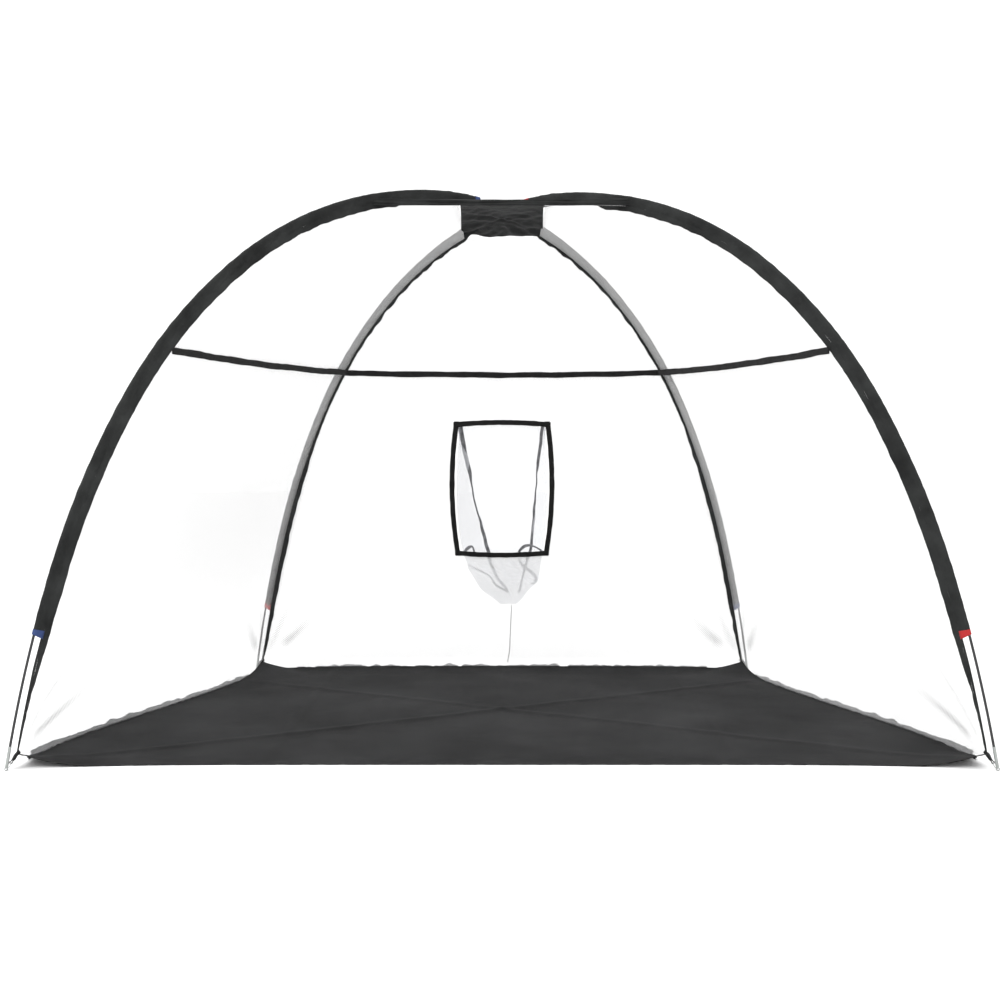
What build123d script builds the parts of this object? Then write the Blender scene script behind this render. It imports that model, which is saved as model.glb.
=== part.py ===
"""Dome golf chipping net: two crossing bent poles, sewn net walls, a ground sheet and a hanging target.

Millimetres. +Z is up, the open front faces -Y, and the origin is on the ground at the middle of the
four pole feet. Each pole stands in its own upright plane, so everything sewn along a pole is drawn in
that plane and swept along the pole's arcs.
"""
from build123d import *
import os
from math import cos, degrees, hypot, pi, radians, sin, tan

# Overall layout
FRONT_WIDTH = 3500.0
BACK_WIDTH = 2520.0
DEPTH = 2000.0

# Poles: nine shock-corded fibreglass sections each, between straight steel end tubes
SECTIONS = 9
UPPER_FOOT_ANGLE = 1.3955
LOWER_FOOT_ANGLE = 1.3903
SHOULDER_STIFFNESS = 0.287
END_STRAIGHT = 50.0
POLE_RADIUS = 4.75
POLE_BORE = 2.75
SECTION_GAP = 0.4
FERRULE_RADIUS = 5.5
FERRULE_BORE = 4.85
FERRULE_LENGTH = 70.0
CORD_IN_POLE_RADIUS = 1.5
CORD_IN_POLE_SETBACK = 20.0
END_TUBE_RADIUS = 5.6
END_TUBE_BORE = 4.9
END_TUBE_START = 16.0
END_TUBE_END = 86.0

# Ground pin, ring and webbing tail at each foot
PIN_SHANK_RADIUS = 4.82
PIN_SHANK_END = 46.0
PIN_COLLAR_RADIUS = 5.7
PIN_COLLAR = (13.6, 15.7)
PIN_NECK_RADIUS = 2.6
PIN_LAP = 0.5
EYELET_RADIUS = 5.5
EYELET_WIRE = 1.5
RING_RADIUS = 13.5
RING_WIRE = 1.25
TAIL_ANGLE = radians(52)
TAIL_LENGTH = 60.0
TAIL_WIDTH = 10.0
TAIL_THICKNESS = 2.4
TAIL_LOOP_INNER = 4.3
TAIL_LOOP_OUTER = 5.5
TAIL_LAP = 0.5
TAIL_TO_SHEET = 4.0

# Sewn strips along the poles, as offsets from the pole axis towards the inside of the dome
SLEEVE_NOSE = 7.6
SLEEVE_HOLE = 6.4
SEAM_OFFSET = 33.0
SEAM_HALF_THICKNESS = 1.2
STRIP_START = 34.0
FRONT_STRIP_WIDTH = 30.0
BACK_STRIP_WIDTH = 28.0
STRIP_THICKNESS = 1.5
FRONT_STRIP_FOOT = 70.0
FRONT_STRIP_TOE = (25.0, 33.0)
BACK_STRIP_FOOT = 80.0
BACK_STRIP_TOE = (24.0, 44.0)
STRIP_TAPER_STEPS = 5
STRIP_SEAM_EDGE_LEAD = 1.6
FRONT_SLEEVE_START = 500.0
BACK_SLEEVE_START = 360.0
SLEEVE_TO_CROSSING = 140.0
TAB_LENGTH = 22.0
TAB_GAP = 0.3
FRONT_STRIP_END = 2770.0
BACK_STRIP_TO_CROSSING = 235.0

# Visor across the top of the front opening, and the crown patch behind it
VISOR_LOW = 2138.0
VISOR_HEIGHT = 30.0
VISOR_THICKNESS = 1.5
VISOR_END_GAP = 26.0
PATCH_THICKNESS = 1.2
PATCH_ROWS = (
    (-186.8, 172.0, 2140.0, 2140.0, 0.0),
    (-70.0, 170.0, 2152.0, 2148.0, 0.0),
    (60.0, 166.0, 2148.0, 2140.0, 0.0),
    (165.0, 160.0, 2130.0, 2112.0, 10.0),
    (256.0, 152.0, 2104.0, 2082.0, 42.0),
)

# Netting and ground sheet
NET_THICKNESS = 1.0
NET_EDGE_GAP = 5.0
NET_LIFT = 4.0
NET_HEIGHTS = (60, 180, 350, 600, 900, 1200, 1500, 1750, 1950)
NET_TOP_ROWS = 3
NET_COLUMNS = 9
SIDE_NET_TO_CROSSING = 224.0
BACK_NET_TO_CROSSING = 200.0
BACK_NET_TOP_BOW = 42.0
BACK_NET_SWELL = 90.0
ROOF_NET_TO_CROSSING = 250.0
ROOF_NET_INNER_X = 178.0
ROOF_NET_ROWS = 5
ROOF_NET_START_GAP = 14.0
ROOF_NET_LIFT = 4.0
SHEET_THICKNESS = 1.2
SHEET_FRONT_Y = -915.0
SHEET_BACK_Y = 1050.0
CORNER_LIFT = 54.0
CORNER_REACH = 280.0
BACK_HEM_LIFT = 17.0
BACK_HEM_REACH = 0.08
SHEET_STEPS = (0, 0.04, 0.10, 0.2, 0.35, 0.5, 0.65, 0.8, 0.90, 0.96, 1)
SIDE_BOW = 800.0
SIDE_BOW_HEIGHT = 700.0
BACK_BOW_HEIGHT = 560.0
SKIRT_WIDTH = 55.0
SKIRT_GAP = 7.0
SKIRT_START = 0.10
SKIRT_STEP = 0.08
SKIRT_POINTS = 11

# Webbing strap round the walls
STRAP_HEIGHT = 1505.0
STRAP_WIDTH = 27.0
STRAP_THICKNESS = 1.5
STRAP_INSET = 4.0
STRAP_TO_STRIP = 8.0

# Target frame on the back wall
TARGET_Z = 940.0
TARGET_HEIGHT = 680.0
TARGET_TOP_WIDTH = 468.0
TARGET_BOTTOM_WIDTH = 464.0
TARGET_SIDE_BULGE = 27.0
TARGET_END_BOW = 12.0
WEBBING_WIDTH = 25.0
WEBBING_THICKNESS = 1.8
TARGET_STAND_OFF = 4.0
WEBBING_LAP_GAP = 0.3
TARGET_HOLE_DEPTH = 60.0

# Mesh pocket behind the target: height, centre, half width, front and back of each level behind the wall
POCKET_LEVELS = (
    (1258.0, 0.0, 200.0, 4.0, 18.0),
    (1100.0, 0.0, 222.0, 4.0, 82.0),
    (850.0, 0.0, 226.0, 4.0, 122.0),
    (600.0, 0.0, 200.0, 4.0, 142.0),
    (490.0, 12.0, 166.0, 16.0, 148.0),
    (425.0, 12.0, 122.0, 36.0, 143.0),
    (340.0, 31.0, 40.0, 84.0, 122.0),
)
POCKET_SEAM = (0.62, 0.85)
POCKET_SIDE = (0.92, 0.45)
POCKET_SKIN = 2.0
POCKET_MOUTH_SIDE_INSET = 5.0
POCKET_MOUTH_END_INSET = 20.0
POCKET_MOUTH_DEPTH = 40.0
POCKET_TAPE_WIDTH = 12.0
POCKET_TAPE_THICKNESS = 1.2
POCKET_TAPE_STAND_OFF = 7.0

# Pull cord hanging from the pocket's tip
PULL_CORD_DIAMETER = 4.0
PULL_CORD_ROUTE = (
    (48.0, 1048.0, 334.0),
    (48.5, 1052.0, 296.0),
    (45.5, 1062.0, 253.0),
    (44.0, 1064.5, 205.0),
    (41.5, 1072.0, 156.0),
    (41.0, 1073.0, 110.0),
    (36.0, 1079.0, 70.0),
    (30.0, 1080.5, 44.0),
)
CORD_KNOT_RADIUS = 4.2
CORD_KNOT_LENGTH = 10.0
CORD_KNOT_ROUNDING = 1.6
CORD_ARC_SHARE = 0.45

UP = Vector(0, 0, 1)


class Pole:
    """One bent pole: a straight end, nine tangent arcs and a straight end, in an upright plane."""

    def __init__(self, start, end, foot_angle):
        self.start = Vector(*start)
        self.along = (Vector(*end) - self.start).normalized()
        self.normal = self.along.cross(UP)
        self.foot_angle = foot_angle
        chord = (Vector(*end) - self.start).length - 2 * END_STRAIGHT * cos(foot_angle)
        angles = [self.bend(i / SECTIONS) for i in range(SECTIONS + 1)]
        turns = [angles[i] - angles[i + 1] for i in range(SECTIONS)]
        spans = [2 * sin(t / 2) / t * cos(a - t / 2) for t, a in zip(turns, angles)]
        self.section_length = chord / sum(spans)
        self.length = SECTIONS * self.section_length + 2 * END_STRAIGHT
        self.arcs = []
        place = (END_STRAIGHT * cos(foot_angle), END_STRAIGHT * sin(foot_angle))
        for turn, angle in zip(turns, angles):
            radius = self.section_length / turn
            centre = (place[0] + radius * sin(angle), place[1] - radius * cos(angle))
            self.arcs.append((centre, radius, angle, turn))
            last = angle - turn
            place = (centre[0] - radius * sin(last), centre[1] + radius * cos(last))
        self.last_place = place

    def bend(self, fraction):
        """Slope of the pole, in radians, at a fraction of its sectioned length."""
        return self.foot_angle * (1 - 2 * fraction) + SHOULDER_STIFFNESS * sin(2 * pi * fraction)

    def station(self, s):
        """Place in the pole's plane and slope at a length s from the start foot."""
        inner = s - END_STRAIGHT
        if inner <= 0:
            return s * cos(self.foot_angle), s * sin(self.foot_angle), self.foot_angle
        if inner >= SECTIONS * self.section_length:
            rest = inner - SECTIONS * self.section_length
            u = self.last_place[0] + rest * cos(self.foot_angle)
            return u, self.last_place[1] - rest * sin(self.foot_angle), -self.foot_angle
        centre, radius, angle, turn = self.arcs[int(inner // self.section_length)]
        slope = angle - (inner % self.section_length) / radius
        return centre[0] - radius * sin(slope), centre[1] + radius * cos(slope), slope

    def place(self, u, v, across=0.0):
        """A point of the pole's plane, moved sideways out of it by across."""
        return self.start + self.along * u + UP * v + self.normal * across

    def point(self, s, outward=0.0, across=0.0):
        """A point beside the pole's axis at length s."""
        u, v, slope = self.station(s)
        return self.place(u - outward * sin(slope), v + outward * cos(slope), across)

    def section_plane(self, s):
        """The plane square to the pole at s, with x pointing out of the dome."""
        u, v, slope = self.station(s)
        tangent = self.along * cos(slope) + UP * sin(slope)
        outward = self.along * -sin(slope) + UP * cos(slope)
        return Plane(origin=self.place(u, v), x_dir=outward, z_dir=tangent)

    def sweep(self, sketch, s0, s1):
        """The sketch carried along the pole's axis from s0 to s1, as one solid."""
        limits = [0, END_STRAIGHT]
        limits += [END_STRAIGHT + (i + 1) * self.section_length for i in range(SECTIONS)]
        limits += [self.length]
        pieces = []
        for low, high in zip(limits, limits[1:]):
            a, b = max(low, s0), min(high, s1)
            if b - a < 1e-6:
                continue
            face = self.section_plane(a + 1e-9) * sketch
            index = int((0.5 * (a + b) - END_STRAIGHT) // self.section_length)
            if 0 <= index < SECTIONS and low >= END_STRAIGHT:
                centre, radius = self.arcs[index][:2]
                axis = Axis(self.place(*centre), self.normal * -1)
                pieces.append(revolve(face, axis, revolution_arc=degrees((b - a) / radius)))
            else:
                tangent = self.section_plane(a + 1e-9).z_dir
                pieces.append(extrude(face, amount=b - a, dir=tangent))
        return join(pieces)


class Ridge:
    """Half of a pole, from one foot up to the crossing."""

    def __init__(self, pole, from_start, crossing):
        self.pole = pole
        self.from_start = from_start
        self.crossing = crossing if from_start else pole.length - crossing

    def s(self, distance):
        return distance if self.from_start else self.pole.length - distance

    def sweep(self, sketch, low, high):
        return self.pole.sweep(sketch, *sorted((self.s(low), self.s(high))))

    def point(self, distance, inward=0.0, across=0.0):
        return self.pole.point(self.s(distance), -inward, across)

    def at_height(self, height, inward=SEAM_OFFSET):
        """The distance from the foot where the seam line reaches a height."""
        low, high = 0.0, self.pole.length / 2
        for _ in range(50):
            middle = 0.5 * (low + high)
            if self.point(middle, inward).Z < height:
                low = middle
            else:
                high = middle
        return low

    def foot_frame(self):
        """Foot plane drawn towards the dome: x inwards, y up."""
        inwards = self.pole.along if self.from_start else self.pole.along * -1
        foot = self.pole.start if self.from_start else self.pole.point(self.pole.length)
        return Plane(origin=foot, x_dir=inwards, z_dir=inwards.cross(UP))


def join(pieces):
    """One solid from pieces that meet face to face."""
    whole = pieces[0]
    for piece in pieces[1:]:
        whole = whole + piece
    return whole


def crossing_lengths(upper, lower):
    """Length along each pole to the plumb line where the two cross."""
    share = FRONT_WIDTH / (FRONT_WIDTH + BACK_WIDTH)
    target = share * hypot((FRONT_WIDTH + BACK_WIDTH) / 2, DEPTH)
    lengths = []
    for pole in (upper, lower):
        low, high = 0.0, pole.length
        for _ in range(60):
            middle = 0.5 * (low + high)
            if pole.station(middle)[0] < target:
                low = middle
            else:
                high = middle
        lengths.append(low)
    return lengths


def triangle(a, b, c):
    return Face(Wire.make_polygon([a, b, c], close=True))


def sheet_solid(rows, thickness):
    """A thin closed sheet through a grid of points, thickened by half on each side."""
    count, width = len(rows), len(rows[0])
    upper, lower = [], []
    for i in range(count):
        top, bottom = [], []
        for j in range(width):
            down = rows[min(i + 1, count - 1)][j] - rows[max(i - 1, 0)][j]
            across = rows[i][min(j + 1, width - 1)] - rows[i][max(j - 1, 0)]
            normal = across.cross(down).normalized() * (thickness / 2)
            top.append(rows[i][j] + normal)
            bottom.append(rows[i][j] - normal)
        upper.append(top)
        lower.append(bottom)
    faces = []
    for i in range(count - 1):
        for j in range(width - 1):
            for grid in (upper, lower):
                a, b = grid[i][j], grid[i][j + 1]
                c, d = grid[i + 1][j + 1], grid[i + 1][j]
                faces += [triangle(a, b, c), triangle(a, c, d)]
    rim = [(0, j) for j in range(width)] + [(i, width - 1) for i in range(1, count)]
    rim += [(count - 1, j) for j in range(width - 2, -1, -1)] + [(i, 0) for i in range(count - 2, 0, -1)]
    for (i, j), (m, n) in zip(rim, rim[1:] + rim[:1]):
        faces.append(triangle(upper[i][j], upper[m][n], lower[m][n]))
        faces.append(triangle(upper[i][j], lower[m][n], lower[i][j]))
    return Solid(Shell(faces))


def tube_sketch(outer, inner):
    return Sketch() + Circle(outer) - Circle(inner)


def sleeve_sketch():
    """Teardrop section of a pole sleeve: round over the pole, flat at the seam."""
    nose = ThreePointArc((0, SLEEVE_NOSE), (SLEEVE_NOSE, 0), (0, -SLEEVE_NOSE))
    sides = Polyline(
        (0, -SLEEVE_NOSE),
        (-SEAM_OFFSET, -SEAM_HALF_THICKNESS),
        (-SEAM_OFFSET, SEAM_HALF_THICKNESS),
        (0, SLEEVE_NOSE),
    )
    return Sketch() + make_face([nose, sides]) - Circle(SLEEVE_HOLE)


def strip_sketch(start, width):
    return Sketch() + Pos(-start - width / 2, 0) * Rectangle(width, STRIP_THICKNESS)


def pole_nodes(name, pole):
    """Sections, ferrules and shock cord of one pole."""
    nodes = {}
    joints = [END_STRAIGHT + i * pole.section_length for i in range(SECTIONS + 1)]
    section = tube_sketch(POLE_RADIUS, POLE_BORE)
    for i in range(SECTIONS):
        low, high = joints[i] + SECTION_GAP / 2, joints[i + 1] - SECTION_GAP / 2
        nodes[f"{name}_pole_section_{i + 1}"] = pole.sweep(section, low, high)
    ferrule = tube_sketch(FERRULE_RADIUS, FERRULE_BORE)
    half = FERRULE_LENGTH / 2
    nodes[f"{name}_pole_ferrules"] = Compound(
        children=[pole.sweep(ferrule, s - half, s + half) for s in joints[1:-1]]
    )
    low, high = joints[0] + CORD_IN_POLE_SETBACK, joints[-1] - CORD_IN_POLE_SETBACK
    nodes[f"{name}_pole_shock_cord"] = pole.sweep(Sketch() + Circle(CORD_IN_POLE_RADIUS), low, high)
    return nodes


def foot_station(ridge, distance):
    """Plane across the straight foot of a pole, looking up the pole."""
    frame = ridge.foot_frame()
    angle = ridge.pole.foot_angle
    origin = frame.from_local_coords(Vector(distance * cos(angle), distance * sin(angle), 0))
    direction = frame.x_dir * cos(angle) + UP * sin(angle)
    return Plane(origin=origin, x_dir=frame.z_dir, z_dir=direction)


def eyelet_distance(ridge):
    """Distance up the pole's line where the eyelet's centre sits, so that it just meets the ground."""
    return (EYELET_RADIUS + EYELET_WIRE) / sin(ridge.pole.foot_angle)


def end_tube(ridge):
    plane = foot_station(ridge, END_TUBE_START)
    sketch = plane * tube_sketch(END_TUBE_RADIUS, END_TUBE_BORE)
    return extrude(sketch, amount=END_TUBE_END - END_TUBE_START, dir=plane.z_dir)


def ground_pin(ridge):
    """Steel pin: a shank that stands in the end tube, a collar, a neck and an eyelet."""
    eye = eyelet_distance(ridge)
    steps = (
        (eye + EYELET_RADIUS, PIN_COLLAR[0] + PIN_LAP, PIN_NECK_RADIUS),
        (PIN_COLLAR[0], PIN_COLLAR[1], PIN_COLLAR_RADIUS),
        (PIN_COLLAR[1] - PIN_LAP, PIN_SHANK_END, PIN_SHANK_RADIUS),
    )
    pieces = []
    for low, high, radius in steps:
        plane = foot_station(ridge, low)
        pieces.append(extrude(plane * (Sketch() + Circle(radius)), amount=high - low, dir=plane.z_dir))
    station = foot_station(ridge, eye)
    loop_plane = Plane(origin=station.origin, x_dir=station.z_dir, z_dir=station.x_dir)
    pieces.append(loop_plane * Torus(EYELET_RADIUS, EYELET_WIRE))
    return join(pieces)


def tail_direction(ridge):
    frame = ridge.foot_frame()
    return frame.x_dir * cos(TAIL_ANGLE) + UP * sin(TAIL_ANGLE)


def corner_ring(ridge):
    """Round wire ring linking the pin's eyelet to the webbing tail."""
    eye = foot_station(ridge, eyelet_distance(ridge)).origin
    direction = tail_direction(ridge)
    side = ridge.foot_frame().z_dir
    centre = eye + direction * RING_RADIUS
    plane = Plane(origin=centre, x_dir=direction, z_dir=direction.cross(side))
    return plane * Torus(RING_RADIUS, RING_WIRE)


def corner_tail(ridge):
    """Webbing tail: a loop round the ring and a doubled strap up to the sheet's corner."""
    eye = foot_station(ridge, eyelet_distance(ridge)).origin
    direction = tail_direction(ridge)
    side = ridge.foot_frame().z_dir
    loop = eye + direction * (2 * RING_RADIUS)
    plane = Plane(origin=loop - side * (TAIL_WIDTH / 2), x_dir=direction, z_dir=side)
    strap = TAIL_LENGTH - 2 * RING_RADIUS - TAIL_LOOP_INNER
    middle = TAIL_LOOP_INNER + TAIL_LAP + strap / 2
    profile = Sketch() + Circle(TAIL_LOOP_OUTER) + Pos(middle, 0) * Rectangle(strap, TAIL_THICKNESS)
    profile = profile - Circle(TAIL_LOOP_INNER)
    return extrude(plane * profile, amount=TAIL_WIDTH, dir=side)


def tapered_strip(ridge, ends, toe, full):
    """Flat strip in the pole's plane that narrows towards the ground, as (near, far) offsets."""
    outer, inner = [], []
    for i in range(STRIP_TAPER_STEPS + 1):
        share = i / STRIP_TAPER_STEPS
        distance = between(*ends, share)
        near = between(toe[0], full[0], min(1, share * STRIP_SEAM_EDGE_LEAD))
        far = between(toe[1], full[1], share)
        outer.append(ridge.point(distance, near, -STRIP_THICKNESS / 2))
        inner.append(ridge.point(distance, far, -STRIP_THICKNESS / 2))
    face = Face(Wire.make_polygon(outer + inner[::-1], close=True))
    return extrude(face, amount=STRIP_THICKNESS, dir=ridge.pole.normal)


def border_strip(ridge):
    """Strip beside a sleeve's seam: tapered below the sleeve, full width above it."""
    if ridge.from_start:
        foot, toe, width, top = FRONT_STRIP_FOOT, FRONT_STRIP_TOE, FRONT_STRIP_WIDTH, FRONT_STRIP_END
    else:
        foot, toe, width = BACK_STRIP_FOOT, BACK_STRIP_TOE, BACK_STRIP_WIDTH
        top = ridge.crossing - BACK_STRIP_TO_CROSSING
    middle = sleeve_start(ridge) - TAB_LENGTH
    low = tapered_strip(ridge, (foot, middle), toe, (STRIP_START, STRIP_START + width))
    return low + ridge.sweep(strip_sketch(STRIP_START, width), middle, top)


def sleeve_start(ridge):
    return FRONT_SLEEVE_START if ridge.from_start else BACK_SLEEVE_START


def pole_sleeve(ridge):
    return ridge.sweep(sleeve_sketch(), sleeve_start(ridge), ridge.crossing - SLEEVE_TO_CROSSING)


def sleeve_tabs(ridge, at_crown):
    """Coloured end bindings of one sleeve: at its foot, and at its crown end where wanted."""
    foot = sleeve_start(ridge) - TAB_GAP
    tabs = [ridge.sweep(sleeve_sketch(), foot - TAB_LENGTH, foot)]
    if at_crown:
        top = ridge.crossing - SLEEVE_TO_CROSSING + TAB_GAP
        tabs.append(ridge.sweep(sleeve_sketch(), top, top + TAB_LENGTH))
    return tabs


def seam_rows(ridge, top_gap):
    """Distances up a ridge for the rows of a net wall: level rows first, then up to the crossing."""
    level = [ridge.at_height(height) for height in NET_HEIGHTS]
    top = ridge.crossing - top_gap
    steps = [level[-1] + (top - level[-1]) * (i + 1) / NET_TOP_ROWS for i in range(NET_TOP_ROWS)]
    return level + steps


def between(a, b, share):
    return a + (b - a) * share


def net_row(a, b, columns=NET_COLUMNS, gap=NET_EDGE_GAP):
    """Points from a to b, kept a little away from both ends."""
    step = (b - a).normalized() * gap
    return [between(a + step, b - step, j / (columns - 1)) for j in range(columns)]


def side_bow(share):
    """How far the ground sheet's side swells out between its corners, most near the front."""
    return SIDE_BOW * share * (1 - share) ** 3


def fade(height, top):
    """Share of a wall's swelling that is left at a height."""
    return max(0.0, 1 - height / top) ** 2


def side_wall(front, back, side):
    """Net wall between a front ridge and a back ridge, down to the ground sheet's side."""
    outward = Vector(2 * side - 1, 0, 0)
    rows = [[sheet_point(j / (NET_COLUMNS - 1), side, NET_LIFT) for j in range(NET_COLUMNS)]]
    front_rows, back_rows = (seam_rows(r, SIDE_NET_TO_CROSSING) for r in (front, back))
    for a, b in zip(front_rows, back_rows):
        row = net_row(front.point(a, SEAM_OFFSET), back.point(b, SEAM_OFFSET))
        swell = fade(row[0].Z, SIDE_BOW_HEIGHT)
        for j in range(NET_COLUMNS):
            row[j] = row[j] + outward * (side_bow(j / (NET_COLUMNS - 1)) * swell)
        rows.append(row)
    return sheet_solid(rows, NET_THICKNESS)


def back_wall(left, right):
    """Net wall between the two back ridges, with the target's mouth cut through it."""
    rows = [[sheet_point(1, j / (NET_COLUMNS - 1), NET_LIFT) for j in range(NET_COLUMNS)]]
    left_rows, right_rows = (seam_rows(r, BACK_NET_TO_CROSSING) for r in (left, right))
    last = len(left_rows) - 1
    for i, (a, b) in enumerate(zip(left_rows, right_rows)):
        row = net_row(left.point(a, SEAM_OFFSET), right.point(b, SEAM_OFFSET))
        swell = BACK_NET_SWELL * fade(row[0].Z, BACK_BOW_HEIGHT)
        if i >= last - 1:
            swell = BACK_NET_TOP_BOW / (1 + last - i)
        for j in range(NET_COLUMNS):
            row[j] = row[j] + Vector(0, swell * (1 - (2 * j / (NET_COLUMNS - 1) - 1) ** 4), 0)
        rows.append(row)
    return sheet_solid(rows, NET_THICKNESS) - target_hole(left)


def wall_y(left, height):
    """Depth of the back wall at a height."""
    return left.point(left.at_height(height), SEAM_OFFSET).Y


def target_plane(left):
    """Plane of the target, leaning with the back wall: x across, y up the wall, z towards the front."""
    low, high = TARGET_Z - TARGET_HEIGHT / 2, TARGET_Z + TARGET_HEIGHT / 2
    a = Vector(0, wall_y(left, low), low)
    b = Vector(0, wall_y(left, high), high)
    centre = (a + b) * 0.5
    lean = (b - a).normalized()
    plane = Plane(origin=centre, x_dir=Vector(1, 0, 0), z_dir=Vector(1, 0, 0).cross(lean))
    return plane


def bowed_strip(start, end, bow, width):
    """Flat webbing strip between two corners, bowed sideways, as a face in the target's plane."""
    a, b = Vector(*start), Vector(*end)
    side = (b - a).normalized().cross(Vector(0, 0, 1))
    middle = (a + b) * 0.5 + side * bow
    edges = []
    for shift in (0, -width):
        offset = side * shift
        edges.append(ThreePointArc(a + offset, middle + offset, b + offset))
    ends = [Line(edges[0] @ 0, edges[1] @ 0), Line(edges[0] @ 1, edges[1] @ 1)]
    return make_face(edges + ends)


def target_frame(left):
    """Four webbing strips: the upright pair behind, the level pair lapped over their ends."""
    plane = target_plane(left)
    top, bottom = TARGET_TOP_WIDTH / 2, TARGET_BOTTOM_WIDTH / 2
    half = TARGET_HEIGHT / 2
    uprights = (
        bowed_strip((top, half, 0), (bottom, -half, 0), -TARGET_SIDE_BULGE, -WEBBING_WIDTH),
        bowed_strip((-top, half, 0), (-bottom, -half, 0), TARGET_SIDE_BULGE, WEBBING_WIDTH),
    )
    levels = (
        bowed_strip((-top, half, 0), (top, half, 0), -TARGET_END_BOW, -WEBBING_WIDTH),
        bowed_strip((-bottom, -half, 0), (bottom, -half, 0), TARGET_END_BOW, WEBBING_WIDTH),
    )
    strips = []
    for layer, group in enumerate((uprights, levels)):
        base = TARGET_STAND_OFF + layer * (WEBBING_THICKNESS + WEBBING_LAP_GAP)
        for face in group:
            solid = extrude(Pos(0, 0, base) * face, amount=WEBBING_THICKNESS, dir=(0, 0, 1))
            strips.append(plane.location * solid)
    return strips


def target_hole(left):
    """Block that cuts the target's mouth through the back wall."""
    width, height = TARGET_TOP_WIDTH - 2 * WEBBING_WIDTH, TARGET_HEIGHT - 2 * WEBBING_WIDTH
    block = Box(width, height, TARGET_HOLE_DEPTH)
    return target_plane(left).location * block


def pocket_outline(left, height, centre, half_width, near, far):
    """D-shaped level of the pocket: flat against the wall, round at the back."""
    front = wall_y(left, height)
    right = [POCKET_SEAM, POCKET_SIDE, (1, 0)]
    shape = [(-x, y) for x, y in reversed(right)] + [(0, 1)] + right
    depth = far - near
    return [Vector(centre + x * half_width, front + near + y * depth, height) for x, y in shape]


def pocket_body(left, inset):
    """Solid through the pocket's levels, drawn in by inset."""
    levels = []
    for i, (height, centre, half_width, near, far) in enumerate(POCKET_LEVELS):
        end = inset if i == 0 else -inset if i == len(POCKET_LEVELS) - 1 else 0
        walls = (half_width - inset, near + inset, far - inset)
        levels.append(pocket_outline(left, height - end, centre, *walls))
    count = len(levels[0])
    faces = []
    for upper, lower in zip(levels, levels[1:]):
        for j in range(count):
            k = (j + 1) % count
            faces += [triangle(upper[j], upper[k], lower[k]), triangle(upper[j], lower[k], lower[j])]
    faces += [Face(Wire.make_polygon(levels[i], close=True)) for i in (0, -1)]
    return Solid(Shell(faces))


def target_pocket(left):
    """Hollow mesh bag with its mouth cut through the side that lies on the wall."""
    width = TARGET_TOP_WIDTH - 2 * (WEBBING_WIDTH + POCKET_MOUTH_SIDE_INSET)
    height = TARGET_HEIGHT - 2 * (WEBBING_WIDTH + POCKET_MOUTH_END_INSET)
    mouth = Box(width, height, POCKET_MOUTH_DEPTH)
    mouth = target_plane(left).location * mouth
    return Part() + pocket_body(left, 0) - pocket_body(left, POCKET_SKIN) - mouth


def pocket_tapes(left):
    """Binding tapes down the two back seams of the pocket."""
    tapes = []
    for side in (-1, 1):
        rows = []
        for height, centre, half_width, near, far in POCKET_LEVELS[1:-1]:
            y = wall_y(left, height) + near + POCKET_SEAM[1] * (far - near) + POCKET_TAPE_STAND_OFF
            x = centre + side * half_width * POCKET_SEAM[0]
            rows.append([Vector(x + k * POCKET_TAPE_WIDTH / 2, y, height) for k in (-1, 1)])
        tapes.append(sheet_solid(rows, POCKET_TAPE_THICKNESS))
    return tapes


def cord_path():
    """Straight runs joined by tangent arcs, each as large as its runs allow."""
    points = [Vector(*p) for p in PULL_CORD_ROUTE]
    radii = []
    for a, b, c in zip(points, points[1:], points[2:]):
        turn = (b - a).get_angle(c - b)
        shorter = min((b - a).length, (c - b).length)
        radii.append(CORD_ARC_SHARE * shorter / tan(radians(turn) / 2))
    print("pull cord radii", [round(r) for r in radii])
    return FilletPolyline(*points, radius=radii)


def pull_cord():
    path = cord_path()
    print("pull cord length", round(path.length, 1))
    return sweep(Plane(origin=path @ 0, z_dir=path % 0) * Circle(PULL_CORD_DIAMETER / 2), path=path)


def cord_knot():
    """Thick knotted end of the pull cord."""
    end, before = Vector(*PULL_CORD_ROUTE[-1]), Vector(*PULL_CORD_ROUTE[-2])
    direction = (end - before).normalized()
    plane = Plane(origin=end, z_dir=direction)
    knot = extrude(plane * (Sketch() + Circle(CORD_KNOT_RADIUS)), amount=CORD_KNOT_LENGTH, dir=direction)
    return fillet(knot.edges(), CORD_KNOT_ROUNDING)


def visor(ridges):
    """Level strip across the top of the front opening."""
    left = ridges["front_left"].point(FRONT_STRIP_END, STRIP_START)
    half = abs(left.X) - VISOR_END_GAP
    centre = Vector(0, left.Y, VISOR_LOW + VISOR_HEIGHT / 2)
    return Pos(centre) * Box(2 * half, VISOR_THICKNESS, VISOR_HEIGHT)


def roof_net(ridges):
    """Two net triangles between the visor, the crown patch and the front ridges."""
    pieces = []
    for name, side in (("front_left", -1), ("front_right", 1)):
        ridge = ridges[name]
        low, high = FRONT_STRIP_END + ROOF_NET_START_GAP, ridge.crossing - ROOF_NET_TO_CROSSING
        rows = []
        for i in range(ROOF_NET_ROWS):
            share = i / (ROOF_NET_ROWS - 1)
            a = ridge.point(between(low, high, share), SEAM_OFFSET)
            inner_z = between(PATCH_ROWS[0][2] + ROOF_NET_LIFT, a.Z, share)
            b = Vector(side * ROOF_NET_INNER_X, a.Y, inner_z)
            rows.append(net_row(a, b, 4))
        pieces.append(sheet_solid(rows, NET_THICKNESS))
    return pieces


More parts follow.
